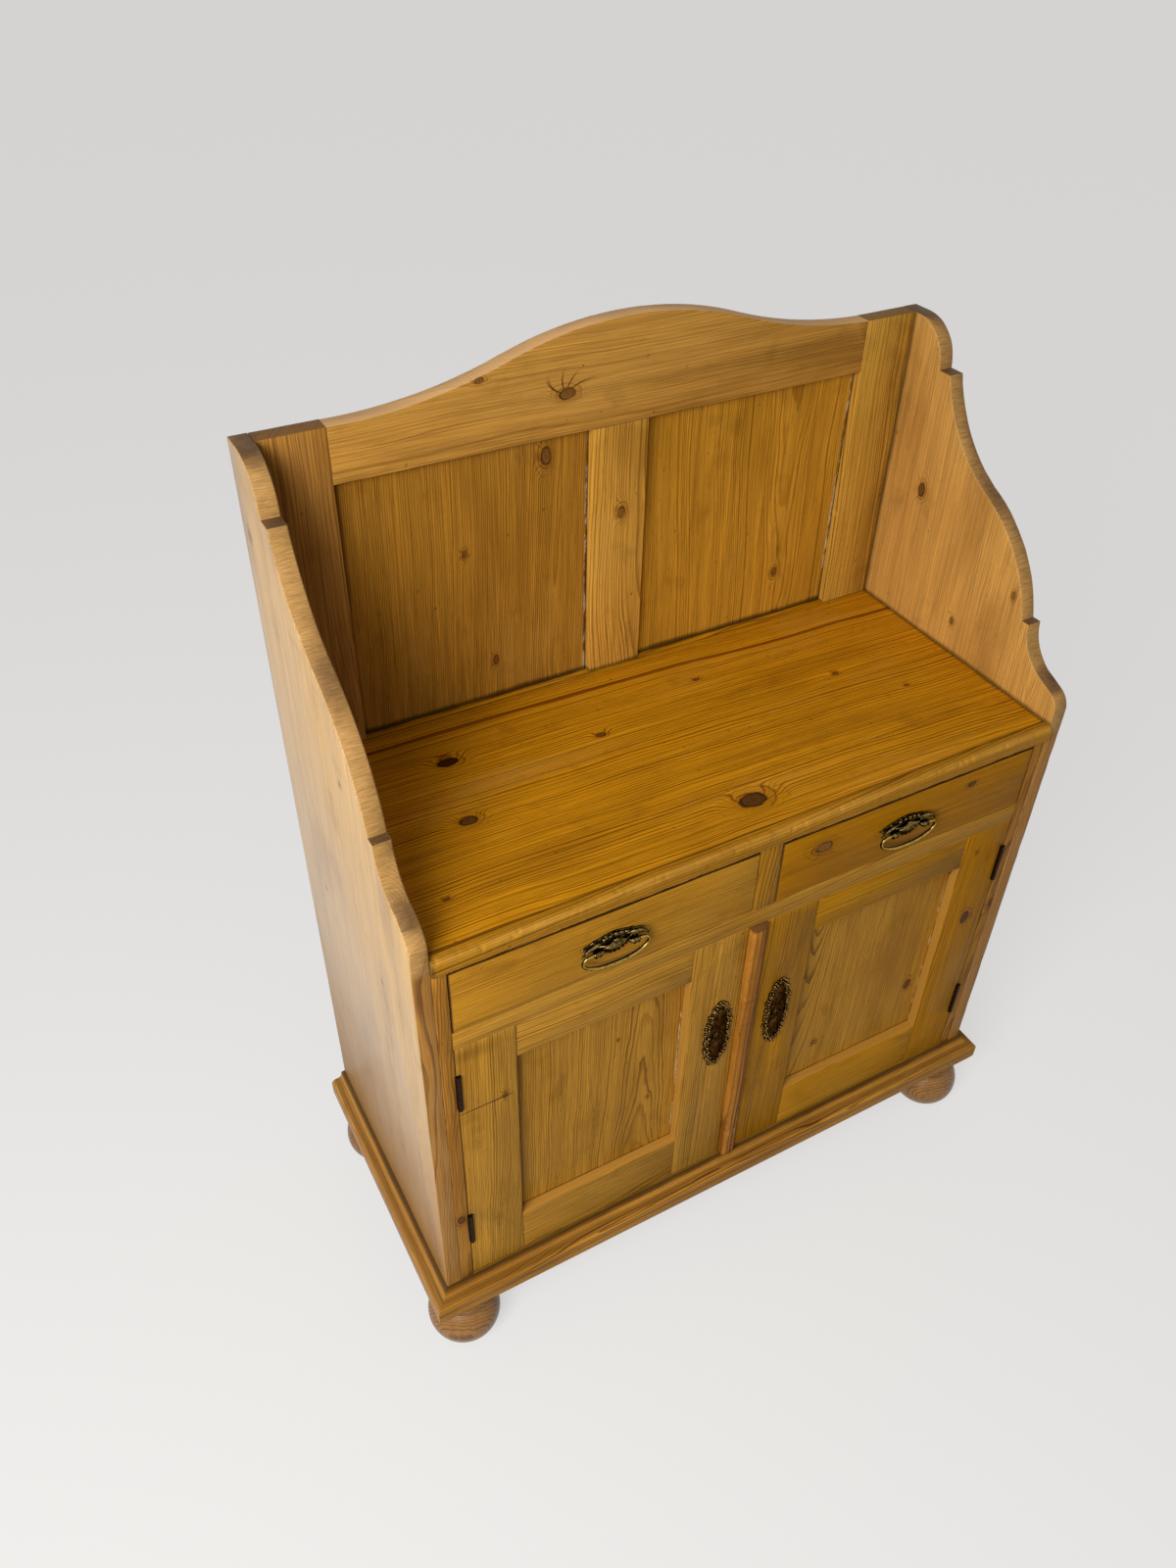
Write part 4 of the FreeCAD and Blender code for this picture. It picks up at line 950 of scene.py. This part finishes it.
def rod(work, points, radii, sides=10, steps=6, flat=1.0):
    """Adds a bar of changing thickness along a soft curve, closed by a dome at each end. Flat is
    its depth for its width."""
    line = soft_line([Vector(point) for point in points], steps)
    spread = np.linspace(0, len(radii) - 1, len(line))
    sizes = list(np.interp(spread, range(len(radii)), radii))
    first = (line[0] - line[1]).normalized()
    last = (line[-1] - line[-2]).normalized()
    domes = (radians(35), radians(65))
    head = [(line[0] + first * sizes[0] * sin(turn), sizes[0] * cos(turn)) for turn in reversed(domes)]
    tail = [(line[-1] + last * sizes[-1] * sin(turn), sizes[-1] * cos(turn)) for turn in domes]
    stations = head + list(zip(line, sizes)) + tail
    side = first.orthogonal() if abs(first.y) > 0.9 else first.cross(Vector((0, 1, 0)))
    side.normalize()
    rings = []
    for number, (centre, size) in enumerate(stations):
        near = stations[max(number - 1, 0)][0]
        far = stations[min(number + 1, len(stations) - 1)][0]
        along = (far - near).normalized()
        side = (side - along * side.dot(along)).normalized()
        out = along.cross(side)
        rings.append([work.verts.new(centre + (side * cos(turn) + out * sin(turn) * flat) * size)
                      for turn in np.arange(sides) * 2 * pi / sides])
    skin(work, rings)
    for ring, tip in ((rings[0], line[0] + first * sizes[0]), (rings[-1], line[-1] + last * sizes[-1])):
        pole = work.verts.new(tip)
        for number in range(sides):
            work.faces.new((ring[number], ring[(number + 1) % sides], pole))


def relief(work, stations, low, high, raised, rows=20, upright=False):
    """Adds a closed plate between two edges that are worked out along it. Raised is how far its
    front stands out at each place."""
    put = (lambda u, v, out: (v, -out, u)) if upright else (lambda u, v, out: (u, -out, v))
    shares = [0.5 - 0.5 * cos(pi * row / rows) for row in range(rows + 1)]
    grid = []
    for u in stations:
        line = [low(u) + (high(u) - low(u)) * share for share in shares]
        front = [work.verts.new(put(u, v, raised(u, v))) for v in line]
        back = [work.verts.new(put(u, v, 0.0)) for v in reversed(line)]
        grid.append(front + back)
    skin(work, grid, ends=True)


def mirrored_line(*points):
    """Reads off a line that is given from the middle outwards and is the same on both sides."""
    places, values = np.array(points, dtype=float).T
    return lambda place: float(np.interp(abs(place), places, values))


def collar(work, centre, radius, wire, sides=20):
    """Adds a ring of wire round a line along X."""
    bars = []
    for turn in np.arange(sides) * 2 * pi / sides:
        out = Vector((0, cos(turn), sin(turn)))
        bars.append([work.verts.new(
            Vector(centre) + out * (radius + wire * cos(lean)) + Vector((wire * sin(lean), 0, 0)))
            for lean in np.arange(8) * pi / 4])
    skin(work, [*bars, bars[0]])


def knob(work, centre, size, stretch=(1, 1, 1), turn=0.0):
    """Adds a round or oval boss."""
    shape = Matrix.Translation(centre) @ Matrix.Rotation(turn, 4, "Y") @ Matrix.Diagonal((*stretch, 1))
    bmesh.ops.create_uvsphere(work, u_segments=14, v_segments=9, radius=size, matrix=shape)


def cast(name, work, origin, material, node):
    """A casting made of work in mm round its own origin, which takes the place of a CAD node."""
    bmesh.ops.remove_doubles(work, verts=work.verts, dist=0.001)
    thin = [face for face in work.faces if face.calc_area() < 0.0000001]
    bmesh.ops.delete(work, geom=thin, context="FACES_ONLY")
    bmesh.ops.recalc_face_normals(work, faces=work.faces)
    place = Matrix.Translation(origin / MM) @ Matrix.Scale(1 / MM, 4)
    bmesh.ops.transform(work, verts=work.verts, matrix=place)
    for face in work.faces:
        face.smooth = True
    stand_for(name, mesh_of(work, name), material, node)


# Both brasses carry a painted highlight on their upper faces and painted shade beneath, besides rubbing and
# patina.
bronze = metal("dark_brass", paint(196, 166, 98), paint(24, 16, 7), 0.28, rub_and_light=(0.62, 1.25))
rubbed_highlit_brass = metal("rubbed_and_highlit_brass", paint(192, 158, 80), paint(32, 22, 8), 0.18, rub_and_light=(0.42, 1.05))
BAIL_Y = -10.0
PLATE_HALF = 41
PLATE_THICKNESS = 1.4
PLATE_CROWN = 3.6
plate_top = mirrored_line((0, 16.4), (6, 16.2), (13, 14.9), (19, 13.2), (25, 12.6), (29, 9.8), (35, 8.0),
                          (PLATE_HALF, 4.5))
plate_foot = mirrored_line((0, -12.2), (5, -11.8), (11, -10.2), (18, -7.6), (24, -4.6), (29, -2.6),
                           (35, -0.5), (PLATE_HALF, 3.5))
RIBS = 11
FAN = Vector((0.0, -7.8, 9.4))
# Each knob's place across and up the plate, and its size.
CREST_KNOBS = ((-21.5, 11.4, 2.5), (-14.2, 13.6, 2.9), (-6.6, 15.4, 3.1), (0.6, 16.6, 3.3),
               (7.8, 15.3, 3.0), (14.8, 13.5, 2.8), (21.6, 11.2, 2.5))
# The bail's bow from its upper end to its middle: across, up and the bar's radius.
BOW = ((22.0, 0.0, 1.9), (31.0, 0.1, 2.1), (38.3, -1.4, 2.0), (42.1, -5.6, 2.0), (42.3, -10.4, 2.1),
       (38.0, -16.4, 2.2), (29.6, -21.2, 2.4), (16.5, -25.2, 2.5))
BOW_MIDDLE = (-26.3, 2.6)


def pull_plate():
    """The fixed part of a pull: its plate, fan, crest, leaves and collars."""
    work = bmesh.new()
    relief(
        work, np.linspace(-PLATE_HALF, PLATE_HALF, 65), plate_foot, plate_top,
        lambda x, z: PLATE_THICKNESS + PLATE_CROWN * max(0.0, 1 - (x / 40) ** 2 - ((z - 2) / 15) ** 2))
    for number in range(RIBS):
        turn = radians(-170 + number * 16)
        reach = Vector((cos(turn) * 20.0, 0, sin(turn) * 19.0 - 1.2))
        end = FAN + reach
        end.y = -4.8
        middle = FAN + reach * 0.55 + Vector((0, -2.0, 0))
        rod(work, (FAN + reach * 0.16, middle, end), (0.7, 1.35, 1.9), steps=5)
        knob(work, end + Vector((0, -0.6, 0)), 1.95)
    knob(work, FAN + Vector((0, 0.4, -0.6)), 3.4, (1.25, 0.75, 0.8))
    for x, z, size in CREST_KNOBS:
        knob(work, (x, -4.4, z - 0.3), size * 0.86, (1.15, 1.0, 0.85), radians(x * 1.2))
        knob(work, (x * 1.02, -4.6, z - 3.6), size * 0.5)
    for hand in (-1, 1):
        rod(work, ((hand * 17, -6.0, 10.2), (hand * 25, -7.6, 11.6), (hand * 33, -8.2, 9.6),
                   (hand * 39.5, -8.6, 5.2), (hand * 42.4, -8.4, 1.4)),
            (1.6, 3.0, 2.6, 1.7, 1.0), sides=12, flat=0.8)
        rod(work, ((hand * 20, -5.2, 5.4), (hand * 28, -6.4, 6.6), (hand * 36, -6.6, 4.2)),
            (1.2, 1.6, 0.8), sides=8)
        knob(work, (hand * 42.0, -8.2, 1.6), 1.7)
        rod(work, ((hand * 17.5, BAIL_Y + 1.5, 1.0), (hand * 21, BAIL_Y, 0.2), (hand * 27, BAIL_Y, 0)),
            (2.6, 3.9, 3.7), sides=16)
        rod(work, ((hand * 22, -1.0, 0.0), (hand * 22.6, BAIL_Y + 2, 0.0)), (3.4, 3.0), sides=12)
        for x in (21.8, 27.2):
            collar(work, (hand * x, BAIL_Y, 0), 3.6, 1.15)
    return work


def bail():
    """The hanging part of a pull, thickest in the middle of its bow."""
    work = bmesh.new()
    middle_z, middle_radius = BOW_MIDDLE
    points = [Vector((x, BAIL_Y, z)) for x, z, radius in BOW] + [Vector((0, BAIL_Y, middle_z))]
    points += [Vector((-x, BAIL_Y, z)) for x, z, radius in reversed(BOW)]
    half = [radius for x, z, radius in BOW]
    rod(work, points, (*half, middle_radius, *reversed(half)), sides=16, steps=7)
    return work


for side in ("left", "right"):
    bail_low, bail_high = box_mm(side + "_pull_bail")
    front_low, front_high = box_mm(side + "_drawer_front")
    origin = Vector(((bail_low.x + bail_high.x) / 2, front_low.y, (front_low.z + front_high.z) / 2))
    cast(side + "_pull_casting", pull_plate(), origin, bronze, side + "_pull_plate")
    cast(side + "_bail_casting", bail(), origin, rubbed_highlit_brass, side + "_pull_bail")


# Key plates
# Tall cast brass plates with a beaded, lobed edge, a smooth panel above and below the keyhole, and
# two small leaves at the keyhole itself. Two pins fix each to its door.

# Beads along a line of edges, each of its own size and a little out of line.
beading, bead_in, add = nodes_tree(
    "beading", Spacing=0.0042, Smallest=0.0015, Largest=0.0028, Drift=0.0006, Seed=1, Finish=None)
path = add("GeometryNodeMeshToCurve", Mesh=bead_in["Geometry"])
spaced = add("GeometryNodeResampleCurve", {"mode": "LENGTH"}, Curve=path["Curve"], Length=bead_in["Spacing"])
astray = add("FunctionNodeRandomValue", {"data_type": "FLOAT_VECTOR"},
             _0=times(add, bead_in["Drift"], -1.0), _1=bead_in["Drift"], Seed=bead_in["Seed"])
moved = add("GeometryNodeSetPosition", Geometry=spaced["Curve"], Offset=astray[0])
bead = add("GeometryNodeMeshUVSphere", Segments=8, Rings=6, Radius=1.0)
size = add("FunctionNodeRandomValue", {"data_type": "FLOAT"}, _2=bead_in["Smallest"],
           _3=bead_in["Largest"], Seed=bead_in["Seed"])
strung = add("GeometryNodeInstanceOnPoints", Points=moved["Geometry"], Instance=bead["Mesh"], Scale=size[1])
finish_tree(beading, add, strung["Instances"], bead_in["Finish"])

# The plate and its beads carry a painted highlight on their upper faces and painted shade beneath, the beads
# most strongly.
plate_metal = metal("key_plate_brass", paint(116, 86, 46), paint(28, 17, 8), 0.4, rub_and_light=(0.52, 1.25))
bead_metal = metal("rubbed_and_highlit_beads", paint(192, 152, 88), paint(24, 14, 6), 0.24, rub_and_light=(0.6, 1.15))
KEY_PLATE_HALF = 63.4
edge_at = mirrored_line(
    (0, 18.2), (8, 19.5), (14, 17.9), (20, 19.7), (27, 18.6), (33, 15.0), (37, 16.2), (43, 14.2),
    (48, 10.6), (52, 10.9), (57, 8.4), (61, 5.0), (KEY_PLATE_HALF, 2.4))
KEYHOLE_EYE = 3.4
KEYHOLE_HALF = 1.87
KEYHOLE_FOOT = -11.6
KEYHOLE_TURN = radians(146)
PIN_HEIGHTS = (49.5, -50.5)
# Each string of beads: its share of the plate's width and height, its rise off the plate and spacing.
BEAD_STRINGS = ((1.0, 1.0, 0.2, 0.0046), (0.78, 0.93, 0.7, 0.0052))


def plate_height(z, x):
    """The plate's own crown, with a smooth oval panel above and below the keyhole."""
    crown = 0.9 + 1.3 * max(0.0, 1 - (x / 21) ** 2 - (z / 75) ** 2)
    for middle, half in ((30, 17), (-33, 18)):
        away = 1 - (x / 6.8) ** 2 - ((z - middle) / half) ** 2
        crown += 1.3 * min(1.0, max(0.0, away * 2.2))
    return crown


def keyhole():
    """The outline of a keyhole: a round eye over a straight slot."""
    eye = [(sin(turn) * KEYHOLE_EYE, cos(turn) * KEYHOLE_EYE)
           for turn in np.linspace(-KEYHOLE_TURN, KEYHOLE_TURN, 25)]
    return [(-KEYHOLE_HALF, KEYHOLE_FOOT), *eye, (KEYHOLE_HALF, KEYHOLE_FOOT)]


def key_plate(lean):
    """A key plate, pierced, with its ornament. The small leaf above the keyhole leans to one side."""
    work = bmesh.new()
    relief(work, np.linspace(-KEY_PLATE_HALF, KEY_PLATE_HALF, 111), lambda z: -edge_at(z), edge_at,
           plate_height, rows=26, upright=True)
    key_cut = bmesh.new()
    rim = keyhole()
    skin(key_cut, [[key_cut.verts.new((x, y, z)) for x, z in rim] for y in (-12, 3)], ends=True)
    for shape in (work, key_cut):
        bmesh.ops.recalc_face_normals(shape, faces=shape.faces)
    pierced = cut_away(mesh_of(work, "plate"), mesh_of(key_cut, "keyhole"))
    work = bmesh.new()
    work.from_mesh(pierced)
    rod(work, [(x, -2.6, z) for x, z in (*rim[::2], rim[-1])], (0.55, 0.75, 0.55), sides=8, steps=3)
    for hand in (-1, 1):
        rod(work, ((hand * 8.2, -2.2, -4.5), (hand * 6.4, -3.4, 1.8), (hand * 2.9, -3.2, 8.4)),
            (0.7, 1.9, 0.7))
        rod(work, ((hand * 7.5, -1.8, 47.5), (hand * 10.4, -2.2, 41), (hand * 8.6, -2.4, 33.5),
                   (hand * 11.8, -2.2, 26), (hand * 9.2, -2.4, 17.5), (hand * 12.4, -2.0, 10)),
            (0.6, 1.3, 0.8, 1.5, 0.9, 0.6), sides=8)
        rod(work, ((hand * 7.0, -1.8, -50), (hand * 9.8, -2.2, -43), (hand * 8.4, -2.4, -34),
                   (hand * 11.6, -2.2, -25), (hand * 9.4, -2.4, -16), (hand * 12.2, -2.0, -8)),
            (0.6, 1.2, 0.8, 1.5, 0.9, 0.6), sides=8)
        for z, x, tilt in ((49.5, 5.4, 24), (16, 14.6, 24), (-20, 13.2, -20), (-47, 5.6, -30)):
            knob(work, (hand * x, -2.2, z), 1.9, (0.62, 0.7, 1.9), radians(hand * tilt))
    rod(work, ((lean * -5.6, -3.2, 33), (lean * -3.2, -3.9, 38), (lean * -0.4, -3.4, 43)), (0.8, 1.6, 0.8))
    for z in (56.5, -57):
        knob(work, (0, -1.8, z), 3.1, (0.95, 0.75, 1.25))
    return work


def bead_string(origin, seed, wide, tall, rise, spacing):
    """Beads all round a plate, on a line within its edge."""
    half_line = [(edge_at(z) * wide, z * tall) for z in np.linspace(-62.5, 62.5, 90)]
    loop = half_line + [(-x, z) for x, z in reversed(half_line)]
    points = [(origin + Vector((x, -plate_height(z, x) - rise, z))) / MM for x, z in loop]
    line = bpy.data.meshes.new("bead_line")
    line.from_pydata([tuple(point) for point in points],
                     [(number, (number + 1) % len(points)) for number in range(len(points))], [])
    return grown(beading, line, finish=bead_metal, seed=seed, spacing=spacing)


for side, lean in (("left", 1), ("right", -1)):
    name = side + "_door_key_plate"
    low, high = box_mm(name)
    origin = Vector(((low.x + high.x) / 2, high.y, (low.z + high.z) / 2))
    cast(side + "_key_plate_casting", key_plate(lean), origin, plate_metal, name)
    work = bmesh.new()
    for string in BEAD_STRINGS:
        work.from_mesh(bead_string(origin, int(string[0] * 50) + lean, *string))
    beads = side + "_key_plate_beads"
    add_on(beads, mesh_of(work, beads), bead_metal, name)
    screws(side + "_key_plate_pins", [origin + Vector((0, -1.5, z)) for z in PIN_HEIGHTS],
           [Vector((0, -1, 0))] * 2, plate_metal, "aged_brass", name,
           radius=0.0013, crown=0.6, height=0.0008, slot_width=0.0002, slot_depth=0.0002)


# Floor, light and camera
# A pale floor, a large soft light from the left, and the camera at the photograph's angle.


def seen_in(tree):
    """1 where the camera or a reflection sees a surface itself, and 0 where it only lights others."""
    path = Wire(tree).node("LightPath", output="Is Camera Ray")
    return path.sum("MAXIMUM", path, path.also("Is Glossy Ray"))


bpy.ops.mesh.primitive_circle_add(vertices=96, radius=40.0, fill_type="NGON", location=(0, 0, 0))
floor = bpy.context.object
floor.name = "floor"
floor_material = bpy.data.materials.new("pale_floor")
floor_material.use_nodes = True
floor_tree = floor_material.node_tree
floor_tree.nodes.clear()
seen = seen_in(floor_tree)
pale = seen.node("BsdfDiffuse", {}, {"Color": seen.tint((0.30, 0.29, 0.28, 1), (0.78, 0.775, 0.77, 1))})
even = seen.node("Emission", {}, {"Color": (0.84, 0.83, 0.82, 1), "Strength": seen})
mixed = seen.node("MixShader", {}, {0: 0.7, 1: pale, 2: even})
mixed.feed(floor_tree.nodes.new("ShaderNodeOutputMaterial"), {"Surface": mixed})
floor.data.materials.append(floor_material)

world = bpy.data.worlds.new("studio")
bpy.context.scene.world = world
world.use_nodes = True
seen = seen_in(world.node_tree)
seen.feed(world.node_tree.nodes["Background"],
          {"Color": (1.0, 0.985, 0.965, 1), "Strength": seen * 0.48 + 0.30})

soft_light = bpy.data.lights.new("soft_light", "AREA")
soft_light.shape = "SQUARE"
soft_light.size = 1.5
soft_light.energy = 92
soft_light.color = (1.0, 0.98, 0.95)
LIGHT_PLACE = Vector((-1.95, -1.45, 2.0))
LIGHT_AIM = Vector((0, 0, 0.6))
lamp = placed("soft_light", soft_light)
lamp.location = LIGHT_PLACE
lamp.rotation_euler = (LIGHT_AIM - LIGHT_PLACE).to_track_quat("-Z", "Y").to_euler()

CAMERA_PLACE = Vector((-0.69345, -0.97667, 1.71142))
CAMERA_TURN = Euler([radians(angle) for angle in (49.9687, -0.8442, -28.6492)])
camera_data = bpy.data.cameras.new("camera")
camera_data.sensor_fit = "VERTICAL"
camera_data.sensor_width = 36
camera_data.sensor_height = 36
camera_data.lens = 27.80
camera = placed("camera", camera_data)
camera.matrix_world = Matrix.LocRotScale(CAMERA_PLACE, CAMERA_TURN, None)
bpy.context.scene.camera = camera
bpy.context.scene.view_settings.view_transform = "Standard"
